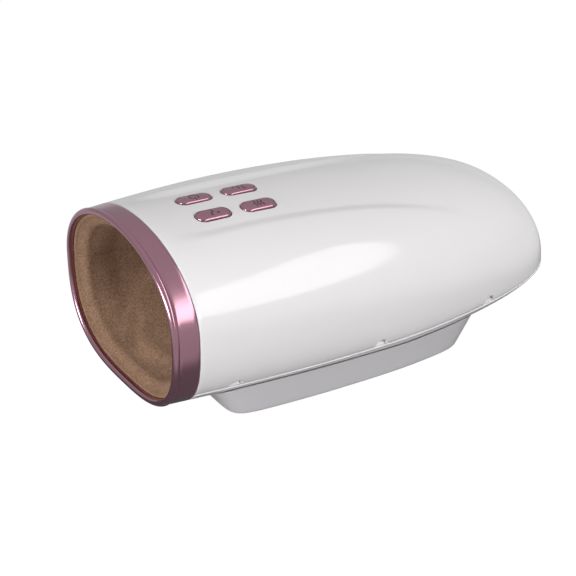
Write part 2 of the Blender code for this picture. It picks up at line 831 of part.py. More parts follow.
def add_screw_columns(shell):
    """Columns in the lower shell: the case screws pass up through them, the base screws end in them."""
    for station in CASE_SCREW_STATIONS:
        for side in (1, -1):
            x, y = side * case_screw_x(station), world_y(station)
            name = f"case_column_{station / MM:.0f}_{side}"
            column = rod(name, BOSS_RADIUS, (x, y, MOUTH_BOTTOM), (x, y, PARTING_HEIGHT - SEAM / 2), cutters)
            boolean(column, clip, "INTERSECT")
            head, seat, top = SCREW_HEAD_RADIUS + FIT, case_seat(station), PARTING_HEIGHT + OVERRUN
            steps = (
                (0, top), (SCREW_BORE_RADIUS, top), (SCREW_BORE_RADIUS, seat), (head, seat),
                (head, FOOT_CLEAR), (0, FOOT_CLEAR),
            )
            hole = place(turned(name + "_hole", steps, cutters), (x, y, 0))
            boolean(shell, column, "UNION")
            boolean(shell, hole)
    for station in PAD_STATIONS:
        for side in (1, -1):
            x, y = side * PAD_X, world_y(station)
            name = f"base_column_{station / MM:.0f}_{side}"
            top = base_head_top() + BASE_SCREW_LENGTH
            column = rod(name, BOSS_RADIUS, (x, y, MOUTH_BOTTOM), (x, y, top + OVERRUN), cutters)
            boolean(column, clip, "INTERSECT")
            bore = rod(name + "_bore", SCREW_BORE_RADIUS, (x, y, FOOT_CLEAR), (x, y, top + FIT), cutters)
            boolean(shell, column, "UNION")
            boolean(shell, bore)


def make_front_ring():
    """The band round the mouth: a proud bead in front, and a flange inside the shells behind."""
    profile = (
        (RING_BAND, 0),
        *((RING_BEAD * back, -RING_BEAD_PROUD * out) for back, out in BEAD_SHARES),
        *((RING_NOSE * back, RING_LIP * down) for back, down in LIP_SHARES),
        (RING_FLANGE_END, RING_LIP),
        (RING_FLANGE_END, RING_FLANGE_DEPTH),
        (RING_BAND, RING_FLANGE_DEPTH),
    )
    loops = []
    for station, depth in profile:
        section = body_section(station, depth)
        angles = around_angles(section, station)
        loops.append([section_point(section, station, angle) for angle in angles])
    columns, count = len(loops[0]), len(loops)
    points = [point for loop in loops for point in loop]
    faces = []
    for index in range(count):
        for column in range(columns):
            a = index * columns + column
            b = index * columns + (column + 1) % columns
            c = ((index + 1) % count) * columns + (column + 1) % columns
            d = ((index + 1) % count) * columns + column
            faces.append((a, b, c, d))
    return object_from_faces("front_ring", points, faces, parts, rose_gold)


# Sleeve

def liner_stations(grow):
    reach = LINER_END + grow - LINER_END_START
    front = [mix(LINER_FRONT, THROAT_STATION, share) for share in FUNNEL_ROW_SHARES]
    middle = [mix(THROAT_STATION, LINER_END_START, share) for share in SLEEVE_ROW_SHARES]
    rear = [LINER_END_START + reach * sin(radians(turn)) ** (2 / END_POWER) for turn in SLEEVE_END_DEGREES]
    return front + middle + rear


def make_liner():
    angles = sleeve_angles()
    outer = loft_rows(lambda station: liner_section(station, LINER_WALL), liner_stations(LINER_WALL), angles)
    inner = loft_rows(liner_section, liner_stations(0), angles)
    tips = [Vector((0, world_y(LINER_END + grow), END_WIDEST)) for grow in (LINER_WALL, 0)]
    return wall_between("liner", outer, inner, parts, tan_fabric, closed=True, tips=tips)


def make_liner_hoop():
    stations = [mix(HOOP_FRONT, HOOP_REAR, share) for share in (0, 0.5, 1)]
    outer = []
    for station in stations:
        section = body_section(station, RING_LIP + FIT)
        outer.append([section_point(section, station, angle) for angle in around_angles(section, station)])
    inner = loft_rows(lambda station: liner_section(station, LINER_WALL + FIT), stations, sleeve_angles())
    return wall_between("liner_hoop", outer, inner, parts, dark_plastic, closed=True)


def tray_stations(rear):
    front = HOOP_REAR + FIT
    middle = [station for station in liner_stations(0)[:-len(SLEEVE_END_DEGREES)] if station > front + FIT]
    return [front, *middle, mix(LINER_END_START, rear, 0.5), rear]


def make_tray(name, side):
    """Half of the rigid duct; the two halves meet along the widest line."""
    stations = tray_stations(TRAY_REAR)
    angles = [side * angle for angle in sleeve_angles(0, SLEEVE_COLUMNS // 2)]
    outer = loft_rows(tray_section, stations, angles)
    inner = loft_rows(lambda station: tray_section(station, TRAY_WALL), stations, angles)
    for rows in (outer, inner):
        for row in rows:
            for column in (0, -1):
                row[column].z += side * FIT / 2
    return wall_between(name, outer, inner, parts, grey_plastic)


def make_tray_room():
    """The space that the trays take with their clearance, as a tool."""
    stations = tray_stations(TRAY_REAR + FIT)
    rows = loft_rows(lambda station: tray_section(station, -FIT), stations, sleeve_angles())
    return solid_between("tray_room", rows, cutters)


def cell_stations():
    return liner_stations(LINER_WALL)[CELL_ROWS]


def make_cell(name, columns, grow, material):
    """A flat air bag between the sleeve and its tray."""
    stations, angles = cell_stations(), sleeve_angles(*columns)
    inner = loft_rows(lambda station: liner_section(station, grow), stations, angles)
    outer = loft_rows(lambda station: tray_section(station, TRAY_WALL + CELL_GAP), stations, angles)
    return wall_between(name, outer, inner, parts, material)


def make_heater_pad():
    """A thin heating film under the sleeve, over the lower air cell."""
    stations, angles = cell_stations(), sleeve_angles(*LOWER_CELL_COLUMNS)
    grow = LINER_WALL + CELL_GAP
    inner = loft_rows(lambda station: liner_section(station, grow), stations, angles)
    outer = loft_rows(lambda station: liner_section(station, grow + HEATER_THICKNESS), stations, angles)
    return wall_between("heater_pad", outer, inner, parts, heater_film)


# Foot block

def foot_loop(front, rear, inset, height, count=36):
    """Outline of the foot block at a height: the body's plan drawn in, with rounded corners."""
    middle, half = (front + rear) / 2, (rear - front) / 2
    loop = []
    for index in range(count):
        angle = radians(360) * (index + 0.5) / count
        along = copysign(abs(cos(angle)) ** (2 / FOOT_SPACING_POWER), cos(angle))
        across = copysign(abs(sin(angle)) ** (2 / FOOT_SPACING_POWER), sin(angle))
        reach = (abs(along) ** FOOT_CORNER_POWER + abs(across) ** FOOT_CORNER_POWER) ** (-1 / FOOT_CORNER_POWER)
        station = middle + half * along * reach
        side = (half_width_at(station, PARTING_HEIGHT) - inset) * reach
        loop.append(Vector((side * across, world_y(station), height)))
    return loop


def foot_level(share, shrink, height):
    """Outline at a share of the way from the foot's bottom to its top edge."""
    front = mix(FOOT_BOTTOM_FRONT, FOOT_TOP_FRONT, share) + shrink
    rear = mix(FOOT_BOTTOM_REAR, FOOT_TOP_REAR, share) - shrink
    return foot_loop(front, rear, mix(FOOT_BOTTOM_INSET, FOOT_TOP_INSET, share) + shrink, height)


def foot_height_share(height):
    return (height - FOOT_CLEAR) / (PARTING_HEIGHT - FOOT_CLEAR)


def base_head_top():
    """Height of the underside of a base screw's head seat."""
    return FOOT_CLEAR + BASE_SEAT_WEB


def make_base_cover():
    edge_levels = ((0, FOOT_EDGE), (0.3 * FOOT_EDGE, 0.3 * FOOT_EDGE), (FOOT_EDGE, 0))
    rows = []
    for rise, shrink in edge_levels:
        height = FOOT_CLEAR + rise
        rows.append(foot_level(foot_height_share(height), shrink, height))
    rows.append(foot_level(1, 0, PARTING_HEIGHT))
    cover = solid_between("base_cover", rows, parts, foot_white)
    floor = FOOT_CLEAR + FOOT_WALL
    inside = [foot_level(foot_height_share(height), FOOT_WALL, height) for height in (floor, PARTING_HEIGHT + OVERRUN)]
    boolean(cover, solid_between("base_room", inside, cutters))
    for station in PAD_STATIONS:
        for side in (1, -1):
            x, y = side * PAD_X, world_y(station)
            top = underside_height(station, PAD_X + BOSS_RADIUS) + OVERRUN
            boss = rod(f"base_boss_{station / MM:.0f}_{side}", BOSS_RADIUS, (x, y, floor - EDGE),
                       (x, y, top), cutters)
            boolean(cover, boss, "UNION")
    for share in BOARD_POST_SHARES:
        for side in (1, -1):
            x = side * (MAIN_BOARD_WIDTH / 2 - 2 * BOARD_POST_RADIUS)
            y = world_y(MAIN_BOARD_FRONT + share * MAIN_BOARD_LENGTH)
            post = rod(f"main_board_post_{share}_{side}", BOARD_POST_RADIUS, (x, y, floor - EDGE),
                       (x, y, MAIN_BOARD_HEIGHT - FIT), cutters, sides=12)
            boolean(cover, post, "UNION")
    for station in PAD_STATIONS:
        for side in (1, -1):
            x, y = side * PAD_X, world_y(station)
            pad, head = PAD_RADIUS + FIT, SCREW_HEAD_RADIUS + FIT
            pad_top, head_top = PAD_HEIGHT + FIT, base_head_top()
            steps = (
                (0, PARTING_HEIGHT), (SCREW_BORE_RADIUS, PARTING_HEIGHT), (SCREW_BORE_RADIUS, head_top),
                (head, head_top), (head, pad_top), (pad, pad_top), (pad, -OVERRUN), (0, -OVERRUN),
            )
            hole = turned(f"base_hole_{station / MM:.0f}_{side}", steps, cutters)
            boolean(cover, place(hole, (x, y, 0)))
    return boolean(cover, body_solid("body_above_foot", -SEAM, shell_front()))


def make_rubber_feet():
    profile = ((0, PAD_HEIGHT), (PAD_RADIUS, PAD_HEIGHT), (PAD_RADIUS, SCREW_EDGE), (PAD_RADIUS - SCREW_EDGE, 0), (0, 0))
    for name, x, y in corner_places("rubber_foot", PAD_X, PAD_STATIONS):
        place(turned(name, profile, parts, rubber), (x, y, 0))


def corner_places(name, x, stations):
    for row, station in zip(("front", "rear"), stations):
        for side, word in ((1, "right"), (-1, "left")):
            yield f"{name}_{row}_{word}", side * x, world_y(station)


def make_screw(name, x, y, seat, length):
    """A pan-head screw that points up, its head just under the seat."""
    head = -SCREW_HEAD_HEIGHT
    profile = (
        (0, length), (SCREW_RADIUS, length), (SCREW_RADIUS, 0), (SCREW_HEAD_RADIUS, 0),
        (SCREW_HEAD_RADIUS, head + SCREW_EDGE), (SCREW_HEAD_RADIUS - SCREW_EDGE, head), (0, head),
    )
    return place(turned(name, profile, parts, steel, sides=8), (x, y, seat - FIT))


def make_screws():
    for name, x, y in corner_places("base_screw", PAD_X, PAD_STATIONS):
        make_screw(name, x, y, base_head_top(), BASE_SCREW_LENGTH)
    for row, station in zip(("front", "rear"), CASE_SCREW_STATIONS):
        for side, word in ((1, "right"), (-1, "left")):
            make_screw(f"case_screw_{row}_{word}", side * case_screw_x(station), world_y(station),
                       case_seat(station), CASE_SCREW_LENGTH)


# Keys and switches

def key_places():
    """Name, place across and station of each key."""
    for name, column, row in (("power", -1, -1), ("mode", 1, -1), ("pressure", -1, 1), ("heat", 1, 1)):
        yield name, column * KEY_PITCH_X / 2, KEY_CENTRE_STATION + row * KEY_PITCH_Y / 2


def panel_tilt():
    """Turn about X that lays a piece's local Y along the panel's fall at the keys."""
    front = panel_height(KEY_CENTRE_STATION - KEY_PITCH_Y / 2, 0)
    rear = panel_height(KEY_CENTRE_STATION + KEY_PITCH_Y / 2, 0)
    return -atan((front - rear) / KEY_PITCH_Y)


def panel_point(x, station, depth=0.0):
    """Place under the panel, at a depth along its normal."""
    tilt = panel_tilt()
    return Vector((x, world_y(station), panel_height(station, x))) - depth * Vector((0, -sin(tilt), cos(tilt)))


def shear_to_crown(obj, x):
    """Lean a key's faces with the crown, which falls away to the sides."""
    half = KEY_WIDTH / 2
    station = KEY_CENTRE_STATION
    slope = (panel_height(station, x + half) - panel_height(station, x - half)) / KEY_WIDTH
    for vertex in obj.data.vertices:
        vertex.co.z += slope * vertex.co.x
    return obj


def make_keys():
    tilt = panel_tilt()
    flange_top = -(SHELL_WALL + KEY_FLANGE_GAP)
    flange_bottom = flange_top - KEY_FLANGE
    stem_bottom = -(BOARD_DEPTH - FIT - SWITCH_HEIGHT - PLUNGER_PROUD - FIT)
    for name, x, station in key_places():
        key = plate(f"key_{name}", pill_outline(KEY_LENGTH, KEY_WIDTH), flange_top - EDGE, KEY_PROUD, parts, rose_gold)
        shear_to_crown(key, x)
        bevel = key.modifiers.new("soft edge", "BEVEL")
        bevel.width = KEY_EDGE
        bevel.segments = 2
        bevel.limit_method = "ANGLE"
        bevel.angle_limit = radians(50)
        wide = KEY_LENGTH + 2 * KEY_FLANGE, KEY_WIDTH + 2 * KEY_FLANGE
        flange = shear_to_crown(plate(f"key_flange_{name}", pill_outline(*wide), flange_bottom, flange_top, cutters), x)
        stem = turned(f"key_stem_{name}", ((0, flange_top - EDGE), (KEY_STEM_RADIUS, flange_top - EDGE),
                                           (KEY_STEM_RADIUS, stem_bottom), (0, stem_bottom)), cutters)
        for obj in (key, flange, stem):
            place(obj, panel_point(x, station), tilt)
        boolean(key, flange, "UNION")
        boolean(key, stem, "UNION")
        make_switch(name, x, station, tilt)


def make_switch(name, x, station, tilt):
    """A tact switch on the key board: a housing with a bore, and the plunger that slides in it."""
    base = -(BOARD_DEPTH - FIT)
    top = base + SWITCH_HEIGHT
    centre = panel_point(x, station, BOARD_DEPTH - FIT - SWITCH_HEIGHT / 2)
    housing = box(f"switch_housing_{name}", (SWITCH_SIDE, SWITCH_SIDE, SWITCH_HEIGHT), centre, parts, dark_plastic)
    housing.rotation_euler = (tilt, 0, 0)
    bore_floor = base + SWITCH_HEIGHT - (PLUNGER_HEIGHT - PLUNGER_PROUD + KEY_TRAVEL + FIT)
    bore = turned(f"switch_bore_{name}", ((0, top + OVERRUN), (PLUNGER_RADIUS + FIT, top + OVERRUN),
                                          (PLUNGER_RADIUS + FIT, bore_floor), (0, bore_floor)),
                  cutters)
    place(bore, panel_point(x, station), tilt)
    boolean(housing, bore)
    plunger_top = top + PLUNGER_PROUD
    plunger = turned(f"switch_plunger_{name}", ((0, plunger_top), (PLUNGER_RADIUS, plunger_top),
                                                (PLUNGER_RADIUS, plunger_top - PLUNGER_HEIGHT),
                                                (0, plunger_top - PLUNGER_HEIGHT)), parts, switch_red)
    place(plunger, panel_point(x, station), tilt)


def cut_key_holes(shell):
    reach = KEY_PROUD + OVERRUN
    for name, x, station in key_places():
        outline = pill_outline(KEY_LENGTH + 2 * KEY_FIT, KEY_WIDTH + 2 * KEY_FIT)
        hole = plate(f"key_hole_{name}", outline, -(SHELL_WALL + reach), reach, cutters)
        place(hole, panel_point(x, station), panel_tilt())
        boolean(shell, hole)


def board_point(x, along, depth):
    """Place in the key board's own plane, which lies under the panel's middle."""
    tilt = panel_tilt()
    middle = panel_point(0, KEY_CENTRE_STATION, depth)
    return middle + Vector((x, along * cos(tilt), along * sin(tilt)))


def key_board_drop():
    """Depth of the board's top under the panel's middle, so that each switch stands on it."""
    side = panel_point(KEY_PITCH_X / 2, KEY_CENTRE_STATION + KEY_PITCH_Y / 2, BOARD_DEPTH)
    middle = panel_point(0, KEY_CENTRE_STATION, BOARD_DEPTH)
    tilt = panel_tilt()
    normal = Vector((0, -sin(tilt), cos(tilt)))
    return BOARD_DEPTH + (middle - side).dot(normal)


def make_key_board():
    centre = board_point(0, 0, key_board_drop() + BOARD_THICKNESS / 2)
    board = box("key_board", (BOARD_SIDE, BOARD_SIDE, BOARD_THICKNESS), centre, parts, board_green)
    board.rotation_euler = (panel_tilt(), 0, 0)
    return board


def add_board_posts(shell):
    """Posts that hang from the panel down to the key board's corners."""
    x = BOARD_SIDE / 2 - BOARD_POST_INSET
    along = BOARD_SIDE / 2 - 2 * BOARD_POST_INSET
    for side in (1, -1):
        for end in (1, -1):
            start = board_point(side * x, end * along, key_board_drop() - FIT)
            finish = board_point(side * x, end * along, SHELL_WALL / 2 + KEY_FLANGE)
            post = rod(f"board_post_{side}_{end}", BOARD_POST_RADIUS, start, finish, cutters, sides=12)
            boolean(shell, post, "UNION")


# Power

def make_batteries():
    half = CELL_LENGTH / 2
    profile = (
        (0, half), (CELL_NUB_RADIUS, half), (CELL_NUB_RADIUS, half - CELL_NUB), (CELL_RADIUS - EDGE, half - CELL_NUB),
        (CELL_RADIUS, half - CELL_NUB - EDGE), (CELL_RADIUS, EDGE - half), (CELL_RADIUS - EDGE, -half), (0, -half),
    )
    floor = FOOT_CLEAR + FOOT_WALL + FIT
    front, rear = BATTERY_STATIONS
    width = rear - front + 2 * CELL_RADIUS + 2 * CRADLE_RIM
    length = CELL_LENGTH + 2 * FIT + 2 * CRADLE_RIM
    rise = CRADLE_RISE
    cradle = box("battery_cradle", (length, width, rise), (0, world_y((front + rear) / 2), floor + rise / 2),
                 parts, dark_plastic, edge=EDGE / 2)
    for word, station in zip(("front", "rear"), BATTERY_STATIONS):
        cell = place(turned(f"battery_{word}", profile, parts, battery_blue), (0, world_y(station), BATTERY_HEIGHT))
        cell.rotation_euler = (0, radians(90), 0)
        reach = half + FIT
        room = rod(f"battery_room_{word}", CELL_RADIUS + FIT, (-reach, world_y(station), BATTERY_HEIGHT),
                   (reach, world_y(station), BATTERY_HEIGHT), cutters)
        boolean(cradle, room)


def make_main_board():
    middle = world_y(MAIN_BOARD_FRONT + MAIN_BOARD_LENGTH / 2)
    board = box("main_board", (MAIN_BOARD_WIDTH, MAIN_BOARD_LENGTH, BOARD_THICKNESS),
                (0, middle, MAIN_BOARD_HEIGHT + BOARD_THICKNESS / 2), parts, board_green)
    top = MAIN_BOARD_HEIGHT + BOARD_THICKNESS
    chip_shares = ((-0.22, -0.2, 0.24, 0.24), (0.2, 0.15, 0.16, 0.28), (0.2, -0.28, 0.3, 0.12))
    for index, (across_share, along_share, width_share, length_share) in enumerate(chip_shares):
        size = (MAIN_BOARD_WIDTH * width_share, MAIN_BOARD_LENGTH * length_share, CHIP_HEIGHT + BOARD_THICKNESS / 2)
        place_at = (MAIN_BOARD_WIDTH * across_share, middle + MAIN_BOARD_LENGTH * along_share,
                    top + CHIP_HEIGHT / 2 - BOARD_THICKNESS / 4)
        boolean(board, box(f"chip_{index}", size, place_at, cutters), "UNION")


def make_charge_socket():
    """A round power socket, its collar in the shell's hole and its box behind the wall."""
    mouth = world_y(nose_station(SOCKET_X + SOCKET_RADIUS, SOCKET_HEIGHT)) - SOCKET_RECESS
    half = SOCKET_BOX_SIDE / 2
    wall = world_y(nose_station(SOCKET_X + half, SOCKET_HEIGHT + half, SHELL_WALL)) - 2 * FIT
    centre = (SOCKET_X, wall - SOCKET_BOX_DEPTH / 2, SOCKET_HEIGHT)
    socket = box("charge_socket", (SOCKET_BOX_SIDE, SOCKET_BOX_DEPTH, SOCKET_BOX_SIDE), centre, parts, dark_plastic)
    collar = rod("socket_collar", SOCKET_RADIUS, (SOCKET_X, wall - EDGE, SOCKET_HEIGHT),
                 (SOCKET_X, mouth, SOCKET_HEIGHT), cutters)
    bore = rod("socket_bore", SOCKET_BORE_RADIUS, (SOCKET_X, mouth - SOCKET_BORE_DEPTH, SOCKET_HEIGHT),
               (SOCKET_X, mouth + OVERRUN, SOCKET_HEIGHT), cutters)
    foot = mouth - SOCKET_BORE_DEPTH
    pin = rod("socket_pin", SOCKET_PIN_RADIUS, (SOCKET_X, foot - EDGE, SOCKET_HEIGHT),
              (SOCKET_X, foot + SOCKET_PIN_LENGTH, SOCKET_HEIGHT), cutters, sides=12)
    boolean(socket, collar, "UNION")
    boolean(socket, bore)
    boolean(socket, pin, "UNION")


# Air

def pump_y():
    return world_y(BODY_LENGTH - PUMP_FROM_NOSE)


def manifold_station():
    return BODY_LENGTH - PUMP_FROM_NOSE - MANIFOLD_FROM_PUMP


def make_pump():
    """A motor, the head that it drives, and the shaft with the cam that turns in both."""
    y, z = pump_y(), PUMP_HEIGHT
    motor_end = MOTOR_END_X + MOTOR_LENGTH
    motor = rod("pump_motor", PUMP_RADIUS, (MOTOR_END_X, y, z), (motor_end, y, z), parts, steel, sides=28)
    bevel = motor.modifiers.new("rounded rim", "BEVEL")
    bevel.width = EDGE
    bevel.segments = 1
    bevel.limit_method = "ANGLE"
    head_start = motor_end + FIT
    head = box("pump_head", (HEAD_LENGTH, 2 * PUMP_RADIUS, 2 * PUMP_RADIUS), (head_start + HEAD_LENGTH / 2, y, z),
               parts, grey_plastic, edge=EDGE)
    boolean(head, rod("pump_chamber", CHAMBER_RADIUS, (head_start - OVERRUN, y, z),
                      (head_start + CHAMBER_LENGTH, y, z), cutters))
    boolean(motor, rod("shaft_bore", SHAFT_BORE_RADIUS, (motor_end - SHAFT_REACH, y, z),
                       (motor_end + OVERRUN, y, z), cutters))
    tip = head_start + CHAMBER_LENGTH - OVERRUN
    start = motor_end - SHAFT_REACH + OVERRUN / 2
    rotor = rod("pump_rotor", SHAFT_RADIUS, (start, y, z), (tip, y, z), parts, steel)
    middle = (head_start + tip) / 2
    cam = rod("pump_cam", CAM_RADIUS, (middle - CAM_THICKNESS / 2, y, z + CAM_THROW),
              (middle + CAM_THICKNESS / 2, y, z + CAM_THROW), cutters)
    boolean(rotor, cam, "UNION")
    cradle_bottom = underside_height(BODY_LENGTH - PUMP_FROM_NOSE, 0)
    cradle_x = MOTOR_END_X + MOTOR_LENGTH / 2
    cradle = box("pump_cradle", (PUMP_CRADLE_LENGTH, PUMP_CRADLE_WIDTH, PUMP_CRADLE_TOP - cradle_bottom),
                 (cradle_x, y, (PUMP_CRADLE_TOP + cradle_bottom) / 2), parts, dark_plastic)
    boolean(cradle, body_solid("room_in_shell", SHELL_WALL + FIT, shell_front()), "INTERSECT")
    boolean(cradle, rod("motor_room", PUMP_RADIUS + FIT, (MOTOR_END_X, y, z), (motor_end, y, z), cutters, sides=28))


def make_manifold():
    box("air_manifold", (MANIFOLD_LENGTH, MANIFOLD_DEPTH, MANIFOLD_HEIGHT),
        (0, world_y(manifold_station()), MANIFOLD_BOTTOM + MANIFOLD_HEIGHT / 2), parts, grey_plastic, edge=EDGE)
    rear = world_y(manifold_station()) - MANIFOLD_DEPTH / 2 - FIT
    front = rear - VALVE_LENGTH
    z = MANIFOLD_BOTTOM + MANIFOLD_HEIGHT / 2
    for word, side in (("right", 1), ("left", -1)):
        x = side * VALVE_X
        valve = box(f"valve_{word}", (VALVE_WIDTH, VALVE_LENGTH, VALVE_HEIGHT), (x, (front + rear) / 2, z),
                    parts, dark_plastic, edge=EDGE)
        inside = VALVE_PIN_LENGTH - VALVE_PIN_PROUD
        boolean(valve, rod(f"valve_bore_{word}", VALVE_PIN_RADIUS + FIT, (x, front - OVERRUN, z),
                           (x, front + inside + VALVE_PIN_TRAVEL + FIT, z), cutters))
        rod(f"valve_pin_{word}", VALVE_PIN_RADIUS, (x, front - VALVE_PIN_PROUD, z), (x, front + inside, z),
            parts, steel, sides=14)


def smooth_route(route, steps=2):
    """Points on a smooth curve through a route's own points."""
    points = [Vector(point) for point in route]
    ends = [2 * points[0] - points[1], *points, 2 * points[-1] - points[-2]]
    curve = []
    for index in range(1, len(ends) - 2):
        before, start, end, after = ends[index - 1:index + 3]
        for step in range(steps):
            t = step / steps
            curve.append(0.5 * (2 * start + (end - before) * t + (2 * before - 5 * start + 4 * end - after) * t ** 2
                                + (3 * start - before - 3 * end + after) * t ** 3))
    return curve + [points[-1]]


def make_hose(name, route):
    curve = bpy.data.curves.new(name, "CURVE")
    curve.dimensions = "3D"
    curve.bevel_depth = HOSE_RADIUS
    curve.bevel_resolution = 2
    curve.use_fill_caps = True
    points = smooth_route(route)
    spline = curve.splines.new("POLY")
    spline.points.add(len(points) - 1)
    for point, place_at in zip(spline.points, points):
        point.co = (*place_at, 1)
    drawn = bpy.data.objects.new(name, curve)
    bpy.context.scene.collection.objects.link(drawn)
    hose = adopt(mesh_of(drawn, name), name, parts, clear_rubber)
    hose.data.shade_smooth()


def make_hoses():
    """From the pump to the manifold, and from the manifold up to each air cell."""
    port_y = world_y(manifold_station()) + MANIFOLD_DEPTH / 2 + FIT
    head_y = pump_y() - PUMP_RADIUS - FIT
    middle = (port_y + head_y) / 2
    make_hose("hose_supply", (
        (0, port_y, HOSE_PORT_HEIGHT), (0, mix(port_y, port_y + HOSE_STRAIGHT, 0.5), HOSE_PORT_HEIGHT),
        (0, port_y + HOSE_STRAIGHT, mix(HOSE_PORT_HEIGHT, HEAD_PORT_HEIGHT, 0.12)),
        (0, middle, (HOSE_PORT_HEIGHT + HEAD_PORT_HEIGHT) / 2),
        (0, head_y - HOSE_STRAIGHT, mix(HOSE_PORT_HEIGHT, HEAD_PORT_HEIGHT, 0.88)),
        (0, mix(head_y, head_y - HOSE_STRAIGHT, 0.5), HEAD_PORT_HEIGHT), (0, head_y, HEAD_PORT_HEIGHT),
    ))
    end_y = world_y(LINER_END + LINER_WALL)
    cell_y = world_y(cell_stations()[-1]) + FIT
    turn_y = end_y + HOSE_RADIUS + HOSE_TURN
    upper = cell_port_height(1)
    lower = cell_port_height(-1)
    make_hose("hose_upper_cell", (
        (HOSE_X, cell_y, upper), (HOSE_X, mix(cell_y, end_y, 0.5), upper), (HOSE_X, end_y, upper - HOSE_RADIUS),
        (HOSE_X, turn_y, upper - 5 * HOSE_RADIUS), (HOSE_X, turn_y, mix(HOSE_PORT_HEIGHT, upper, 0.35)),
        (HOSE_X, turn_y - HOSE_RADIUS, HOSE_PORT_HEIGHT + 2.4 * HOSE_RADIUS),
        (HOSE_X, mix(port_y, turn_y, 0.4), HOSE_PORT_HEIGHT), (HOSE_X, port_y, HOSE_PORT_HEIGHT),
    ))
    make_hose("hose_lower_cell", (
        (-HOSE_X, cell_y, lower), (-HOSE_X, mix(cell_y, end_y, 0.6), lower), (-HOSE_X, mix(end_y, turn_y, 0.2), lower - HOSE_RADIUS / 5),
        (-HOSE_X, turn_y, mix(HOSE_PORT_HEIGHT, lower, 0.5)),
        (-HOSE_X, mix(end_y, turn_y, 0.2), HOSE_PORT_HEIGHT + HOSE_RADIUS / 5),
        (-HOSE_X, mix(port_y, end_y, 0.4), HOSE_PORT_HEIGHT), (-HOSE_X, port_y, HOSE_PORT_HEIGHT),
    ))


def cell_port_height(side):
    """Height midway between the sleeve and the tray at the rear of a cell, where its hose starts."""
    station = cell_stations()[-1]
    tray = tray_section(station, TRAY_WALL)
    sleeve = liner_section(station, LINER_WALL)
    heights = []
    for section in (tray, sleeve):
        angle = side * angle_at_x(section, HOSE_X, SLEEVE_POWER)
        heights.append(section_point(section, station, angle).z)
    return sum(heights) / 2


clear_scene()
parts = make_collection("hand_massager")
cutters = make_collection("cutters")

white = make_material("white_gloss_abs", "E6E5E8", 0.12)
foot_white = make_material("white_satin_abs", "D2D0D4", 0.3)
rose_gold = make_material("rose_gold_coating", "B98E90", 0.22, 0.9)
tan_fabric = make_material("tan_brushed_fabric", "8B705E", 0.9)
rubber = make_material("grey_rubber", "5A5A5C", 0.8)
clear_rubber = make_material("silicone_hose", "C9C7C2", 0.4)
dark_plastic = make_material("black_nylon", "2A2A2C", 0.5)
grey_plastic = make_material("grey_abs", "9B9C9E", 0.5)
cell_film = make_material("air_cell_film", "6F6A66", 0.6)
heater_film = make_material("heater_film", "A4552B", 0.5)
board_green = make_material("circuit_board", "1E5A3A", 0.5)
battery_blue = make_material("battery_sleeve", "2B5C9A", 0.35)
switch_red = make_material("switch_plunger", "8E2F2B", 0.5)
steel = make_material("zinc_steel", "B4B6B8", 0.3, 1.0)

clip = body_solid("inside_of_body", SHELL_WALL / 2, shell_front())
tray_room = make_tray_room()

make_upper_shell()
make_lower_shell()
make_base_cover()
make_front_ring()
make_liner()
make_liner_hoop()
make_tray("upper_tray", 1)
make_tray("lower_tray", -1)
outside_heater = LINER_WALL + 2 * CELL_GAP + HEATER_THICKNESS
make_cell("upper_air_cell", UPPER_CELL_COLUMNS, LINER_WALL + CELL_GAP, cell_film)
make_cell("lower_air_cell", LOWER_CELL_COLUMNS, outside_heater, cell_film)
make_heater_pad()
make_keys()
make_key_board()
make_batteries()
make_main_board()
make_charge_socket()
make_pump()
make_manifold()
make_hoses()
make_rubber_feet()
make_screws()
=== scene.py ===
# Hand massager: glossy shells on a foot block, a rose gold ring round the mouth, a fabric sleeve in it.
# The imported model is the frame. Pieces here stand for the nodes that need smoother or softer forms.
import json
from collections import namedtuple
from math import acos, asin, atan, cos, copysign, hypot, pi, radians, sin

import bmesh
import bpy
from mathutils import Matrix, Vector

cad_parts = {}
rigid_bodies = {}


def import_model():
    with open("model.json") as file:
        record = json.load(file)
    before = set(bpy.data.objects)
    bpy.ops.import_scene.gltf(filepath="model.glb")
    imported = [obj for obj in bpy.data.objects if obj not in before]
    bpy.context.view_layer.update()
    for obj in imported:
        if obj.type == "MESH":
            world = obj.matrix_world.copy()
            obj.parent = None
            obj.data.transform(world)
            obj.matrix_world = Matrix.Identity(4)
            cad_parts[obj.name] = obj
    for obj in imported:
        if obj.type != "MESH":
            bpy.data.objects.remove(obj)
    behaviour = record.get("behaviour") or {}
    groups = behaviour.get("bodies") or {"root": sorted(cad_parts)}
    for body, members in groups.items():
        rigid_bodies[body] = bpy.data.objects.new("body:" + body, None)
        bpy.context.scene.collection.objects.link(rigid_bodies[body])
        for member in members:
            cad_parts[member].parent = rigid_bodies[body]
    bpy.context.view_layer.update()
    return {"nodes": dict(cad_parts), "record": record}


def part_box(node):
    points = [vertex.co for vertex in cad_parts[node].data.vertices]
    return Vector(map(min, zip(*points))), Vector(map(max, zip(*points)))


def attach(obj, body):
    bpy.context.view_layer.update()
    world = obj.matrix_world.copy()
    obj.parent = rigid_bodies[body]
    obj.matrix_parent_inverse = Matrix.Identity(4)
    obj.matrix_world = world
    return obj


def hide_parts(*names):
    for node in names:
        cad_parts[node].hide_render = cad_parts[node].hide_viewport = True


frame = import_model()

mm = 0.001
sharpAngle = 35  # degrees; edges that bend more stay sharp
weldDistance = 0.0005 * mm
scene = bpy.context.scene
print("frame loaded:", len(frame["nodes"]), "nodes")


# Small helpers

def mix(first, second, share):
    return first + (second - first) * share


def evenly(start, finish, count):
    # the start, the finish and the places between them, in so many steps
    return [mix(start, finish, step / count) for step in range(count + 1)]


def clamp(value, low=0.0, high=1.0):
    return max(low, min(high, value))


def smooth(share):
    share = clamp(share)
    return share * share * (3 - 2 * share)


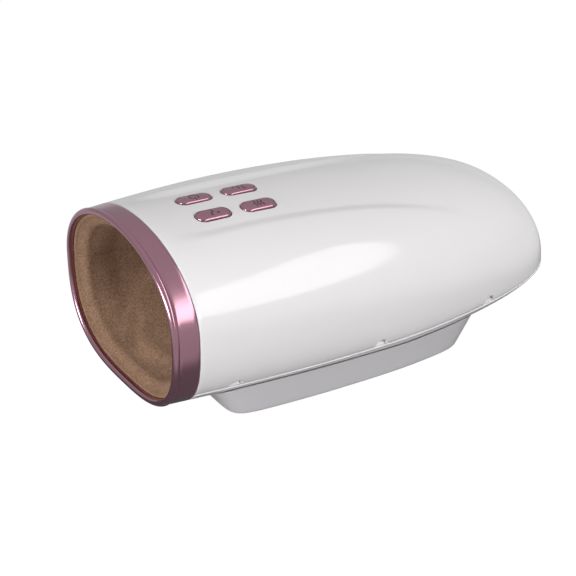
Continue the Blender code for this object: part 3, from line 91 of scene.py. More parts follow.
def roundedEnd(share, power, root):
    # falls from 1 to 0 like the quarter of a superellipse
    return (1 - clamp(share) ** power) ** (1 / root)


def quarterRound(radius, steps=3):
    # (along, depth) from a cut face to the surface
    turns = [radians(90) * step / steps for step in range(steps + 1)]
    return [(radius * (1 - cos(turn)), radius * (1 - sin(turn))) for turn in turns]


# Outside of the body, one cross-section at each distance back from the front rim

body = {
    "length": 264 * mm,
    "mouthHalfWidth": 58.5 * mm,
    "mouthTop": 108.5 * mm,
    "mouthBottom": 7.5 * mm,
    "mouthWidest": 62 * mm,
    "bellyStation": 143 * mm,
    "bellyHalfWidth": 71.5 * mm,
    "shoulderStation": 54 * mm,
    "shoulderTop": 103.5 * mm,
    "keelStation": 142 * mm,
    "partingHeight": 24 * mm,
    "planPower": 1.8,
    "planRoot": 4.6,
    "topPower": 1.89,
    "topRoot": 4.37,
    "keelPower": 1.36,
    "keelRoot": 2.2,
    "widestPower": 1.5,
    "mouthCrownPower": 2.09,
    "noseCrownPower": 2.2,
    "mouthBellyPower": 2.84,
    "rearBellyPower": 4.0,
}

Section = namedtuple("Section", "halfWidth top bottom widest crownPower bellyPower")


def worldY(station):
    return station - body["length"] / 2


def stationOf(point):
    return point.y + body["length"] / 2


def bodySection(station, depth=0.0):
    b = body
    length, parting = b["length"] - depth, b["partingHeight"]
    front = clamp(1 - station / b["bellyStation"])
    halfWidth = b["bellyHalfWidth"] - (b["bellyHalfWidth"] - b["mouthHalfWidth"]) * front ** 2 - depth
    ridge = b["mouthTop"] - (b["mouthTop"] - b["shoulderTop"]) * station / b["shoulderStation"] - depth
    plan, fall, rise = (
        roundedEnd((station - b[start]) / (length - b[start]), b[power], b[root])
        for start, power, root in (("bellyStation", "planPower", "planRoot"),
                                   ("shoulderStation", "topPower", "topRoot"),
                                   ("keelStation", "keelPower", "keelRoot"))
    )
    along = clamp(station / length)
    return Section(
        halfWidth * plan,
        parting + (ridge - parting) * fall,
        parting - (parting - b["mouthBottom"] - depth) * rise,
        mix(b["mouthWidest"], parting, along ** b["widestPower"]),
        mix(b["mouthCrownPower"], b["noseCrownPower"], along),
        mix(b["mouthBellyPower"], b["rearBellyPower"], clamp(station / b["bellyStation"])),
    )


# Recessed panel on top, between two soft creases

panel = {
    "drop": 1.9 * mm,
    "creaseWidth": 9 * mm,
    "creaseHalfSpacing": 25 * mm,
    "creaseSpread": 17.6 * mm,
    "spreadStation": 200 * mm,
    "spreadPower": 4,
    "start": 14.5 * mm,
    "full": 48 * mm,
    "endStart": 160 * mm,
    "end": 216 * mm,
}


def creaseCentre(station):
    spread = panel["creaseSpread"] * (station / panel["spreadStation"]) ** panel["spreadPower"]
    return panel["creaseHalfSpacing"] + spread


def panelDrop(station, x):
    start = smooth((station - panel["start"]) / (panel["full"] - panel["start"]))
    end = smooth((panel["end"] - station) / (panel["end"] - panel["endStart"]))
    across = smooth((creaseCentre(station) + panel["creaseWidth"] / 2 - abs(x)) / panel["creaseWidth"])
    return panel["drop"] * start * end * across


def sectionPoint(section, station, angle, recessed=False):
    # angle 0 is the +X side; the two halves of the section meet at its widest line
    across, up = cos(angle), sin(angle)
    power = section.crownPower if up >= 0 else section.bellyPower
    reach = section.top - section.widest if up >= 0 else section.widest - section.bottom
    x = section.halfWidth * copysign(abs(across) ** (2 / power), across)
    z = section.widest + reach * copysign(abs(up) ** (2 / power), up)
    if recessed and up > 0:
        z -= panelDrop(station, x)
    return Vector((x, worldY(station), z))


def angleAtHeight(section, height):
    if height >= section.widest:
        share = clamp((height - section.widest) / (section.top - section.widest))
        return asin(share ** (section.crownPower / 2))
    share = clamp((section.widest - height) / (section.widest - section.bottom))
    return -asin(share ** (section.bellyPower / 2))


def angleAtX(section, x):
    return acos(clamp(x / section.halfWidth) ** (section.crownPower / 2))


def halfWidthAt(station, height, depth=0.0):
    section = bodySection(station, depth)
    return sectionPoint(section, station, angleAtHeight(section, height)).x


def panelHeight(station, x):
    section = bodySection(station)
    return sectionPoint(section, station, angleAtX(section, abs(x)), recessed=True).z


def insideBody(point, depth):
    section = bodySection(stationOf(point), depth)
    if section.halfWidth <= 0:
        return False
    above = point.z >= section.widest
    power = section.crownPower if above else section.bellyPower
    reach = section.top - section.widest if above else section.widest - section.bottom
    return (abs(point.x) / section.halfWidth) ** power + (abs(point.z - section.widest) / reach) ** power < 1


# Objects

def addObject(name, data):
    made = bpy.data.objects.new(name, data)
    scene.collection.objects.link(made)
    return made


def makeObject(name, points, faces, creaseAngle=sharpAngle):
    mesh = bpy.data.meshes.new(name)
    mesh.from_pydata([tuple(point) for point in points], [], faces)
    shape = bmesh.new()
    shape.from_mesh(mesh)
    bmesh.ops.remove_doubles(shape, verts=shape.verts, dist=weldDistance)
    bmesh.ops.recalc_face_normals(shape, faces=shape.faces)
    shape.to_mesh(mesh)
    shape.free()
    mesh.shade_smooth()
    mesh.set_sharp_from_angle(angle=radians(creaseAngle))
    return addObject(name, mesh)


def gridFaces(rows, columns, closed, start=0, flip=False):
    faces = []
    for row in range(rows - 1):
        for column in range(columns if closed else columns - 1):
            a = start + row * columns + column
            b = start + row * columns + (column + 1) % columns
            face = (a, b, b + columns, a + columns)
            faces.append(tuple(reversed(face)) if flip else face)
    return faces


def wallPiece(name, outer, inner, tips):
    # a wall between two open lofts with the same rows and columns, each of which ends in a tip
    rows, columns = len(outer), len(outer[0])
    points = [point for row in outer + inner for point in row]
    skip = rows * columns
    faces = gridFaces(rows, columns, False) + gridFaces(rows, columns, False, skip, True)
    last = (rows - 1) * columns
    for column in range(columns - 1):
        after = column + 1
        faces.append((column, skip + column, skip + after, after))
        faces.append((last + column, last + after, 2 * skip))
        faces.append((skip + last + column, 2 * skip + 1, skip + last + after))
    for column in (0, columns - 1):
        for row in range(rows - 1):
            a = row * columns + column
            faces.append((a, a + columns, skip + a + columns, skip + a))
        faces.append((last + column, 2 * skip, 2 * skip + 1, skip + last + column))
    return makeObject(name, points + tips, faces)


def loopPiece(name, rows, firstTip=None, lastTip=None, ringed=False, creaseAngle=sharpAngle):
    # closed loops one after another, ended in tips, or joined last to first when ringed
    columns = len(rows[0])
    points = [point for row in rows for point in row]
    faces = gridFaces(len(rows), columns, True)
    last = (len(rows) - 1) * columns
    if ringed:
        faces += [(last + c, last + (c + 1) % columns, (c + 1) % columns, c) for c in range(columns)]
    for tip, base in ((firstTip, 0), (lastTip, last)):
        if tip is not None:
            points.append(tip)
            faces += [(base + c, base + (c + 1) % columns, len(points) - 1) for c in range(columns)]
    return makeObject(name, points, faces, creaseAngle)


def cappedPiece(name, loops):
    # the tips are the middles of the first and the last loop
    return loopPiece(name, loops, *(sum(loop, Vector()) / len(loop) for loop in (loops[0], loops[-1])))


def applyModifiers(target):
    graph = bpy.context.evaluated_depsgraph_get()
    mesh = bpy.data.meshes.new_from_object(target.evaluated_get(graph))
    target.modifiers.clear()
    old = target.data
    target.data = mesh
    bpy.data.meshes.remove(old)
    mesh.name = target.name


def cutAway(target, tools, operation="DIFFERENCE"):
    # every tool is used once, then removed, and the result is a plain mesh
    for tool in tools:
        modifier = target.modifiers.new(tool.name, "BOOLEAN")
        modifier.operation = operation
        modifier.object = tool
        modifier.solver = "EXACT"
    applyModifiers(target)
    for tool in tools:
        bpy.data.objects.remove(tool, do_unlink=True)
    target.data.set_sharp_from_angle(angle=radians(sharpAngle))


def joined(name, pieces):
    # several pieces become one mesh
    shape = bmesh.new()
    for piece in pieces:
        shape.from_mesh(piece.data)
        bpy.data.objects.remove(piece, do_unlink=True)
    mesh = bpy.data.meshes.new(name)
    shape.to_mesh(mesh)
    shape.free()
    mesh.set_sharp_from_angle(angle=radians(sharpAngle))
    return addObject(name, mesh)


# Shells

shell = {
    "wall": 2.4 * mm,
    "seam": 0.3 * mm,
    "edgeRound": 0.45 * mm,
    "lowerEdgeProud": 0.35 * mm,
    "lowerEdgeRows": 3,
    "front": 14.8 * mm,
    "frontRows": 60,
    "rearRows": 56,
    "noseTurn": 88,  # degrees that the rows behind the belly cover
    "sideColumns": 30,
    "creaseColumns": 12,
    "creaseLimits": (0.8, 0.55),  # shares of the half width, where the crease runs out near the nose
    "crownColumns": 12,
    "bellyColumns": 30,
    "notchWidth": 6.5 * mm,
    "notchHeight": 4.2 * mm,
    "notchStations": (37.5 * mm, 124.5 * mm, 201.5 * mm),
    "notchRim": 0.7 * mm,
    "notchRimRows": 4,
    "notchDip": 2 * mm,
    "notchSteps": 16,
    "rampFront": 0.8 * mm,
    "rampRise": 3 * mm,
    "rampSteps": 6,
    "tongueDepth": 2.7 * mm,
    "tongueThickness": 1.2 * mm,
    "tongueRise": 4.6 * mm,
    "tongueFoot": 2.4 * mm,
    "tongueStep": 0.6 * mm,
    "tongueFront": 26 * mm,
    "tongueRear": 240 * mm,
    "tongueRows": 60,
    "bayHalfWidth": 36 * mm,
    "bayFront": 68 * mm,
    "bayRear": 172 * mm,
    "bayHeights": (-5 * mm, 20 * mm),
    "socketX": 24 * mm,
    "socketHeight": 34 * mm,
    "socketRadius": 4.1 * mm,
    "socketReach": 8 * mm,
}
notchPlaces = [(station, side) for station in shell["notchStations"] for side in (1, -1)]


def shellStations(depth):
    # (station, extra depth) of each row: a rounded front edge, even rows, then rows that crowd to the nose
    rows = [(shell["front"] + along, extra) for along, extra in quarterRound(shell["edgeRound"])]
    start, belly = rows[-1][0], body["bellyStation"]
    rows += [(station, 0) for station in evenly(start, belly, shell["frontRows"])[1:]]
    reach = body["length"] - depth - belly
    for row in range(shell["rearRows"]):
        turn = radians(90 - shell["noseTurn"] * (1 - row / shell["rearRows"]) ** 2)
        rows.append((belly + reach * sin(turn) ** (2 / body["planPower"]), 0))
    return rows


def upperColumns(section, station, edge):
    # (angle, extra depth) from the +X edge over the side, the crease and the crown to the -X edge
    half = [(angleAtHeight(section, edge + along), extra) for along, extra in quarterRound(shell["edgeRound"])]
    bounds = [half[-1][0]]
    for offset, limit in zip((0.5, -0.5), shell["creaseLimits"]):
        x = min(creaseCentre(station) + offset * panel["creaseWidth"], limit * section.halfWidth)
        bounds.append(angleAtX(section, x))
    bounds.append(radians(90))
    counts = shell["sideColumns"], shell["creaseColumns"], shell["crownColumns"]
    for start, finish, count in zip(bounds, bounds[1:], counts):
        half += [(angle, 0) for angle in evenly(start, finish, count)[1:]]
    return half + [(radians(180) - angle, extra) for angle, extra in reversed(half[:-1])]


def lowerColumns(section, station, edge):
    # the lower shell's edge stands a little proud and catches a line of light
    proud, radius, rows = shell["lowerEdgeProud"], shell["edgeRound"], shell["lowerEdgeRows"]
    lip = [(along, extra - proud) for along, extra in quarterRound(radius)]
    lip += [(radius * (2 + step), -proud * (1 - smooth(step / rows))) for step in range(rows + 1)]
    half = [(angleAtHeight(section, edge - along), extra) for along, extra in lip]
    half += [(angle, 0) for angle in evenly(half[-1][0], radians(-90), shell["bellyColumns"])[1:]]
    return half + [(radians(-180) - angle, extra) for angle, extra in reversed(half[:-1])]


def shellRows(columnsAt, edge, depth, recessed):
    rows = []
    for station, rowExtra in shellStations(depth):
        section = bodySection(station, depth)
        row = []
        for angle, columnExtra in columnsAt(section, station, edge):
            extra = 0 if depth else rowExtra if rowExtra > max(columnExtra, 0) else columnExtra
            local = bodySection(station, depth + extra) if extra else section
            row.append(sectionPoint(local, station, angle, recessed))
        rows.append(row)
    return rows


def sidePoint(side, station, rise, depth=0.0, inset=0.0):
    # a point on the body's side, or inside it, at a height over the parting line
    height = body["partingHeight"] + rise
    return Vector((side * (halfWidthAt(station, height, depth) - inset), worldY(station), height))


def notchTool(station, side):
    # an arch-shaped cutter that follows the surface and widens at it, so that the notch gets a rounded rim
    reach, rim, count = shell["wall"] + shell["tongueDepth"], shell["notchRim"], shell["notchSteps"]
    cuts = [(rim - along, rim - inset) for along, inset in quarterRound(rim, shell["notchRimRows"])]
    turns = [pi * step / count for step in range(count + 1)]
    loops = []
    for inset, grow in [(reach, 0)] + cuts + [(-reach, rim)]:
        radius, top = shell["notchWidth"] / 2 + grow, shell["notchHeight"] + grow
        arch = [(radius * cos(turn), top - radius + radius * sin(turn)) for turn in turns]
        outline = [(radius, -shell["notchDip"])] + arch + [(-radius, -shell["notchDip"])]
        loops.append([sidePoint(side, station + along, rise, inset=inset) for along, rise in outline])
    return cappedPiece("notch", loops)


def sideBar(name, side, corners, stations):
    # a bar along the body's side, with the (depth, rise) of its corners at each station
    loops = [[sidePoint(side, at, rise, depth) for depth, rise in corners] for at in stations]
    return cappedPiece(name, loops)


def notchRamp(station, side):
    # the lower shell's slope that rises inside each notch to the rib behind it
    half = shell["notchWidth"] / 2 - shell["seam"]
    front, low = shell["rampFront"], -shell["tongueFoot"]
    back = shell["tongueDepth"] + front
    corners = ((front, 0), (back, shell["rampRise"]), (back, low), (front * 2, low))
    stations = [station + along for along in evenly(-half, half, shell["rampSteps"])]
    return sideBar("ramp", side, corners, stations)


def tongueRib(side):
    # the lower shell's rib that stands inside the upper one and shows in the notches
    middle, outer = shell["wall"] / 2, shell["tongueDepth"]
    inner, top = outer + shell["tongueThickness"], shell["tongueRise"]
    low, ledge = -shell["tongueFoot"], -shell["tongueStep"]
    corners = ((middle, low), (middle, ledge), (outer, ledge), (outer, top), (inner, top), (inner, low))
    stations = evenly(shell["tongueFront"], shell["tongueRear"], shell["tongueRows"])
    return sideBar("tongue", side, corners, stations)


def roundPrism(name, radius, start, end, sides=48):
    start, end = Vector(start), Vector(end)
    turn = (end - start).to_track_quat("Z", "Y").to_matrix()
    angles = [2 * pi * side / sides for side in range(sides)]
    rim = [turn @ Vector((radius * cos(angle), radius * sin(angle), 0)) for angle in angles]
    return loopPiece(name, [[place + point for point in rim] for place in (start, end)], start, end)


# Keys: soft pills that stand a little proud of the panel

key = {
    "length": 21.5 * mm,
    "width": 9.5 * mm,
    "pitchX": 20.2 * mm,
    "pitchY": 28.5 * mm,
    "station": 68.8 * mm,
    "proud": 1.5 * mm,
    "dome": 0.35 * mm,
    "domeRows": (0.12, 0.3, 0.5, 0.7, 0.88),
    "edgeRound": 1.1 * mm,
    "edgeRows": 6,
    "sharpAngle": 40,
    "fit": 0.3 * mm,
    "flange": 1.2 * mm,
    "flangeGap": 0.5 * mm,
    "stemRadius": 1.6 * mm,
    "stemBottom": -7 * mm,
    "endSteps": 20,
    "holeRound": 0.35 * mm,
    "holeRows": 4,
    "holeReach": 6 * mm,
}
keyPlaces = {
    "power": (-1, -1),
    "mode": (1, -1),
    "pressure": (-1, 1),
    "heat": (1, 1),
}


def keyPlace(name):
    column, row = keyPlaces[name]
    return column * key["pitchX"] / 2, key["station"] + row * key["pitchY"] / 2


def panelTilt():
    front = panelHeight(key["station"] - key["pitchY"] / 2, 0)
    rear = panelHeight(key["station"] + key["pitchY"] / 2, 0)
    return -atan((front - rear) / key["pitchY"])


def crownSlope(x):
    half = key["width"] / 2
    return (panelHeight(key["station"], x + half) - panelHeight(key["station"], x - half)) / key["width"]


def keySeat(name):
    # local X across, Y along the panel, Z out of it
    x, station = keyPlace(name)
    place = Matrix.Translation((x, worldY(station), panelHeight(station, x)))
    return place @ Matrix.Rotation(panelTilt(), 4, "X")


def keyMatrix(name):
    # the key's seat, sheared so that the faces lean with the crown
    shear = Matrix.Identity(4)
    shear[2][0] = crownSlope(keyPlace(name)[0])
    return keySeat(name) @ shear


def pillLoop(length, width, height):
    radius, steps = width / 2, key["endSteps"]
    middle = length / 2 - radius
    loop = []
    for end in (1, -1):
        for step in range(steps + 1):
            angle = pi * step / steps
            loop.append(Vector((end * radius * cos(angle), end * (middle + radius * sin(angle)), height)))
    return loop


def makeKey(name):
    length, width, top, edge = key["length"], key["width"], key["proud"], key["edgeRound"]
    rim, wide = top - key["dome"], key["flange"]
    flangeTop, stem = -(shell["wall"] + key["flangeGap"]), 2 * key["stemRadius"]
    # (how far in from the pill's outline, height) of each loop, from the middle of the domed top down
    levels = [(edge + (width / 2 - edge) * (1 - share), rim + key["dome"] * (1 - share ** 2))
              for share in key["domeRows"]]
    levels += [(depth, rim - along) for along, depth in reversed(quarterRound(edge, key["edgeRows"]))]
    levels += [(0, flangeTop), (-wide, flangeTop), (-wide, flangeTop - wide)]
    loops = [pillLoop(length - 2 * inset, width - 2 * inset, height) for inset, height in levels]
    loops += [pillLoop(stem, stem, height) for height in (flangeTop - wide, key["stemBottom"])]
    made = loopPiece(f"{name}_key_pill", loops, Vector((0, 0, top)), Vector((0, 0, key["stemBottom"])),
                     creaseAngle=key["sharpAngle"])
    made.data.transform(keyMatrix(name))
    return made


markLook = {
    "stroke": 0.65 * mm,
    "size": 6.6 * mm,
    "thickness": 0.2 * mm,
    "proud": 0.05 * mm,
    "waveSteps": 24,
    "arcSteps": 20,
    "barSteps": 10,
}


def waveLine(x, y, length, height, turns):
    shares = evenly(0, 1, markLook["waveSteps"])
    return [(x + length * (share - 0.5), y + height * sin(2 * pi * turns * share)) for share in shares]


def arcLine(x, y, radius, start, finish):
    turns = [radians(angle) for angle in evenly(start, finish, markLook["arcSteps"])]
    return [(x + radius * cos(turn), y + radius * sin(turn)) for turn in turns]


def barLine(y, start, finish):
    return [(x, y) for x in evenly(start, finish, markLook["barSteps"])]


# plain signs, in shares of their size, x across the key and y along it
keyMarks = {
    "power": [arcLine(0, 0, 0.4, 40, 320), [(0.12, 0), (0.3, 0), (0.5, 0)]],
    "mode": [waveLine(0, -0.12, 0.7, 0.16, 1), arcLine(0.12, 0.42, 0.06, 0, 360)],
    "pressure": [barLine(y, -0.4, finish) for y, finish in ((-0.42, -0.05), (0, 0.18), (0.42, 0.42))],
    "heat": [waveLine(0, y, 0.75, 0.08, 1.5) for y in (-0.32, 0, 0.32)],
}


def keyTop(x, y):
    half = key["width"] / 2
    share = hypot(x, max(0, abs(y) - key["length"] / 2 + half)) / (half - key["edgeRound"])
    return key["proud"] - key["dome"] * min(1, share) ** 2


def makeMark(name):
    # each line of the sign is a thin printed strip that follows the key's top
    strips = []
    for line in keyMarks[name]:
        path = [Vector((x, y, 0)) * markLook["size"] for x, y in line]
        loops = []
        for index, point in enumerate(path):
            tangent = (path[min(index + 1, len(path) - 1)] - path[max(index - 1, 0)]).normalized()
            side = Vector((-tangent.y, tangent.x, 0)) * markLook["stroke"] / 2
            edges = point + side, point - side
            top = [Vector((p.x, p.y, keyTop(p.x, p.y) + markLook["proud"])) for p in edges]
            loops.append(top + [p - Vector((0, 0, markLook["thickness"])) for p in reversed(top)])
        strips.append(cappedPiece("strip", loops))
    made = joined(f"{name}_key_mark", strips)
    made.data.transform(keyMatrix(name))
    return made


def keyHole(name):
    # a pill-shaped cutter that widens at the panel's face, so that the opening gets a rounded edge
    seat = keySeat(name)
    loops = []
    for along, inset in quarterRound(key["holeRound"], key["holeRows"]):
        grow = 2 * (key["fit"] + inset)
        loop = [seat @ point for point in pillLoop(key["length"] + grow, key["width"] + grow, 0)]
        loops.append([Vector((p.x, p.y, panelHeight(stationOf(p), p.x) - along)) for p in loop])
    reach = Vector((0, 0, key["holeReach"]))
    above, below = [point + reach for point in loops[0]], [point - reach for point in loops[-1]]
    return cappedPiece("key_hole", [above] + loops + [below])


def shellWall(name, columnsAt, edge, recessed):
    depths = 0, shell["wall"]
    tips = [Vector((0, worldY(body["length"] - depth), edge)) for depth in depths]
    return wallPiece(name, *(shellRows(columnsAt, edge, depth, recessed) for depth in depths), tips)


def makeUpperShell():
    made = shellWall("gloss_upper_shell", upperColumns, body["partingHeight"] + shell["seam"] / 2, True)
    tools = [notchTool(*place) for place in notchPlaces]
    tools += [keyHole(name) for name in keyPlaces]
    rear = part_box("charge_socket")[1][1]
    x, z, reach = shell["socketX"], shell["socketHeight"], shell["socketReach"]
    tools.append(roundPrism("socket_hole", shell["socketRadius"], (x, rear - reach, z), (x, rear + reach, z)))
    cutAway(made, tools)
    return made


def makeLowerShell():
    made = shellWall("gloss_lower_shell", lowerColumns, body["partingHeight"] - shell["seam"] / 2, False)
    cutAway(made, [tongueRib(1), tongueRib(-1)], "UNION")
    cutAway(made, [notchRamp(*place) for place in notchPlaces], "UNION")
    half, front, rear = shell["bayHalfWidth"], worldY(shell["bayFront"]), worldY(shell["bayRear"])
    corners = ((-half, front), (half, front), (half, rear), (-half, rear))
    bay = [[Vector((x, y, z)) for x, y in corners] for z in shell["bayHeights"]]
    cutAway(made, [cappedPiece("bay", bay)])
    return made


print("making the shells")
upperShell = makeUpperShell()
lowerShell = makeLowerShell()


# Front ring: a smooth band with a rolled bead round the mouth, and a flange inside the shells

ring = {
    "band": 14.5 * mm,
    "bandRows": 6,
    "beadHalfWidth": 2 * mm,
    "beadHalfDepth": 1.9 * mm,
    "beadProud": 0.45 * mm,
    "beadRows": 26,
    "grooveWidth": 1.4 * mm,
    "grooveDepth": 0.22 * mm,
    "grooveRows": 5,
    "stepStation": 12 * mm,
    "flangeInside": 5 * mm,
    "flangeEnd": 22 * mm,
    "flangeDepth": 2.8 * mm,
    "edgeRound": 0.4 * mm,
    "columns": 256,
}


def ringProfile():
    # (station, depth) round the ring's cross-section, from the band's rear edge over the bead to the flange
    r = ring
    halfWidth, halfDepth = r["beadHalfWidth"], r["beadHalfDepth"]
    beadCentre = halfDepth - r["beadProud"]
    start = asin((beadCentre - r["grooveDepth"]) / halfDepth)
    bandFront = halfWidth * (1 + cos(start)) + r["grooveWidth"]
    profile = [(r["band"] - along, depth) for along, depth in quarterRound(r["edgeRound"])]
    profile += [(station, 0) for station in evenly(r["band"] - r["edgeRound"], bandFront, r["bandRows"])[1:]]
    for step in range(1, r["grooveRows"]):
        turn = radians(90 * step / r["grooveRows"])
        profile.append((bandFront - r["grooveWidth"] * sin(turn), r["grooveDepth"] * (1 - cos(turn))))
    for turn in evenly(start, radians(270), r["beadRows"]):
        profile.append((halfWidth * (1 + cos(turn)), beadCentre - halfDepth * sin(turn)))
    inside = profile[-1][1]
    return profile + [(r["stepStation"], inside), (r["stepStation"], r["flangeInside"]),
                      (r["flangeEnd"], r["flangeInside"]), (r["flangeEnd"], r["flangeDepth"]),
                      (r["band"], r["flangeDepth"])]


def makeRing():
    angles = [2 * pi * column / ring["columns"] for column in range(ring["columns"])]
    loops = [[sectionPoint(bodySection(station, depth), station, angle) for angle in angles]
             for station, depth in ringProfile()]
    return loopPiece("rolled_ring", loops, ringed=True)


print("making the ring and the keys")
rolledRing = makeRing()
keyPills = {name: makeKey(name) for name in keyPlaces}
keySigns = {name: makeMark(name) for name in keyPlaces}


# Foot block

foot = {
    "clear": 0.8 * mm,
    "wall": 2.4 * mm,
    "topFront": 27 * mm,
    "topRear": 205 * mm,
    "bottomFront": 38.5 * mm,
    "bottomRear": 184 * mm,
    "topInset": 4.2 * mm,
    "bottomInset": 3.4 * mm,
    "floorInset": 3 * mm,
    "edge": 1.4 * mm,
    "edgeRows": 5,
    "lipRound": 0.5 * mm,
    "lipTurns": (30, 60),  # degrees
    "cornerPower": 15,
    "spacingPower": 4,
    "columns": 192,
    "wallRows": 8,
    "halvings": 30,
    "padRadius": 6.3 * mm,
    "padGap": 0.3 * mm,
    "padReach": 2 * mm,
}


def footPoint(column, height, shrink):
    share = (height - foot["clear"]) / (body["partingHeight"] - foot["clear"])
    front = mix(foot["bottomFront"], foot["topFront"], share) + shrink
    rear = mix(foot["bottomRear"], foot["topRear"], share) - shrink
    inset = mix(foot["bottomInset"], foot["topInset"], share) + shrink
    angle = 2 * pi * (column + 0.5) / foot["columns"]
    spacing, power = 2 / foot["spacingPower"], foot["cornerPower"]
    along = copysign(abs(cos(angle)) ** spacing, cos(angle))
    across = copysign(abs(sin(angle)) ** spacing, sin(angle))
    reach = (abs(along) ** power + abs(across) ** power) ** (-1 / power)
    station = (front + rear) / 2 + (rear - front) / 2 * along * reach
    x = (halfWidthAt(station, body["partingHeight"]) - inset) * across * reach
    return Vector((x, worldY(station), height))


def meetingHeight(column, shrink):
    # where the foot's wall reaches the body's underside with its gap
    low, high = foot["clear"], body["partingHeight"]
    for _ in range(foot["halvings"]):
        middle = (low + high) / 2
        if insideBody(footPoint(column, middle, shrink), -shell["seam"]):
            high = middle
        else:
            low = middle
    return low


def makeFoot():
    columns, wallRows = foot["columns"], foot["wallRows"]
    clear, edge, lip, wall = foot["clear"], foot["edge"], foot["lipRound"], foot["wall"]
    floor = clear + wall
    outerTop, lipTop, innerTop = (
        [meetingHeight(column, inset) for column in range(columns)] for inset in (0, lip, wall))
    # (heights all round, how far in) of each loop, from the underside up the wall and down inside
    levels = [([clear] * columns, edge + foot["floorInset"])]
    levels += [([clear + rise] * columns, inset) for rise, inset in quarterRound(edge, foot["edgeRows"])]
    for row in range(1, wallRows + 1):
        levels.append(([mix(clear + edge, top - lip, row / wallRows) for top in outerTop], 0))
    for turn in map(radians, foot["lipTurns"]):
        heights = [mix(top - lip, meeting, sin(turn)) for top, meeting in zip(outerTop, lipTop)]
        levels.append((heights, lip * (1 - cos(turn))))
    levels += [(lipTop, lip), (innerTop, wall), ([floor] * columns, wall)]
    loops = [[footPoint(column, height, inset) for column, height in enumerate(heights)]
             for heights, inset in levels]
    middle = worldY((foot["bottomFront"] + foot["bottomRear"]) / 2)
    made = loopPiece("satin_foot_block", loops, Vector((0, middle, clear)), Vector((0, middle, floor)))
    tools = []
    for row in ("front", "rear"):
        for side in ("right", "left"):
            low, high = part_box(f"rubber_foot_{row}_{side}")
            x, y = (low[0] + high[0]) / 2, (low[1] + high[1]) / 2
            bottom, top = -foot["padReach"], high[2] + foot["padGap"]
            tools.append(roundPrism("pad_room", foot["padRadius"], (x, y, bottom), (x, y, top)))
    cutAway(made, tools)
    return made


print("making the foot block")
footBlock = makeFoot()


# Fabric sleeve: an upper and a lower cushion that meet in a seam along each side

sleeve = {
    "wall": 1.8 * mm,
    "front": 3.2 * mm,
    "mouthDepth": 8.6 * mm,
    "throatStation": 60 * mm,
    "throat": (47 * mm, 73.5 * mm, 36.5 * mm, 55 * mm),  # half width, top, bottom, widest line
    "end": (42 * mm, 56 * mm, 34 * mm, 45 * mm),
    "endStation": 224 * mm,
    "endStart": 185 * mm,
    "power": 2.6,
    "endPower": 2.5,
    "endTurn": 89,  # degrees, and the tip closes the rest
    "hemFlare": 3.6 * mm,
    "hemLength": 5.5 * mm,
    "hemPad": 1.6 * mm,
    "hemPadRise": 4.5 * mm,
    "hemPadFull": 14 * mm,
    "hemPadFall": 14 * mm,
    "frontRows": 68,
    "frontRowPower": 1.25,
    "endRows": 16,
    "columns": 57,
    "cap": 4.5 * mm,
    "leastSwell": 0.3,  # share of the cap
    "hemPinned": 9 * mm,
    "hemFade": 14 * mm,
    "seamFade": 3,  # columns
    "seamLap": 0.012,  # radians past the side line
    "rearPinned": 196 * mm,
    "puffShare": 0.8,
    "puffRows": (12, 20),  # rows over which it fades at the hem and at the closed end
}
clothFrames = 20
clothSettings = {
    "quality": 5,
    "mass": 0.2,
    "tension_stiffness": 12,
    "compression_stiffness": 8,
    "shear_stiffness": 5,
    "bending_stiffness": 1.2,
    "use_pressure": True,
    "uniform_pressure_force": 3.5,
    "vertex_group_mass": "pinned",
    "shrink_min": -0.05,
}


def sleeveSection(station, grow=0.0):
    s = sleeve
    throat, end = (Section(*s[place], s["power"], s["power"]) for place in ("throat", "end"))
    if station < s["throatStation"]:
        rim = bodySection(s["front"])
        mouth = bodySection(s["front"], s["mouthDepth"])
        before, after = mouth._replace(crownPower=rim.crownPower, bellyPower=rim.bellyPower), throat
        start, finish = s["front"], s["throatStation"]
    else:
        before, after, start, finish = throat, end, s["throatStation"], s["endStation"]
    share = smooth((station - start) / (finish - start))
    section = Section(*(mix(a, b, share) for a, b in zip(before, after)))
    past = station - s["front"]
    grow += s["hemFlare"] * (1 - smooth(past / s["hemLength"]))  # the hem turns out to the ring
    if grow < s["wall"]:  # and its face is padded over the hoop
        fall = smooth((station - s["hemPadFull"]) / s["hemPadFall"])
        grow -= s["hemPad"] * smooth(past / s["hemPadRise"]) * (1 - fall)
    closing = (station - s["endStart"]) / (s["endStation"] + grow - s["endStart"])
    scale = roundedEnd(closing, s["endPower"], s["endPower"])
    return section._replace(
        halfWidth=(section.halfWidth + grow) * scale,
        top=section.widest + (section.top + grow - section.widest) * scale,
        bottom=section.widest + (section.bottom - grow - section.widest) * scale,
    )


def sleeveStations(grow=0.0):
    # rows that crowd to the hem, then rows that crowd to the closed end
    start, frontRows, endRows = sleeve["endStart"], sleeve["frontRows"], sleeve["endRows"]
    reach, power = sleeve["endStation"] + grow - start, 2 / sleeve["endPower"]
    shares = [(row / frontRows) ** sleeve["frontRowPower"] for row in range(frontRows)]
    turns = [radians(sleeve["endTurn"] * row / endRows) for row in range(endRows + 1)]
    stations = [mix(sleeve["front"], start, share) for share in shares]
    return stations + [start + reach * sin(turn) ** power for turn in turns]


def cushionGrid(side, grow=0.0):
    lap = sleeve["seamLap"]
    angles = [side * angle for angle in evenly(-lap, pi + lap, sleeve["columns"] - 1)]
    return [[sectionPoint(sleeveSection(station, grow), station, angle) for angle in angles]
            for station in sleeveStations(grow)]


def towardsMiddle(point):
    return (Vector((0, point.y, sleeveSection(stationOf(point)).widest)) - point).normalized()


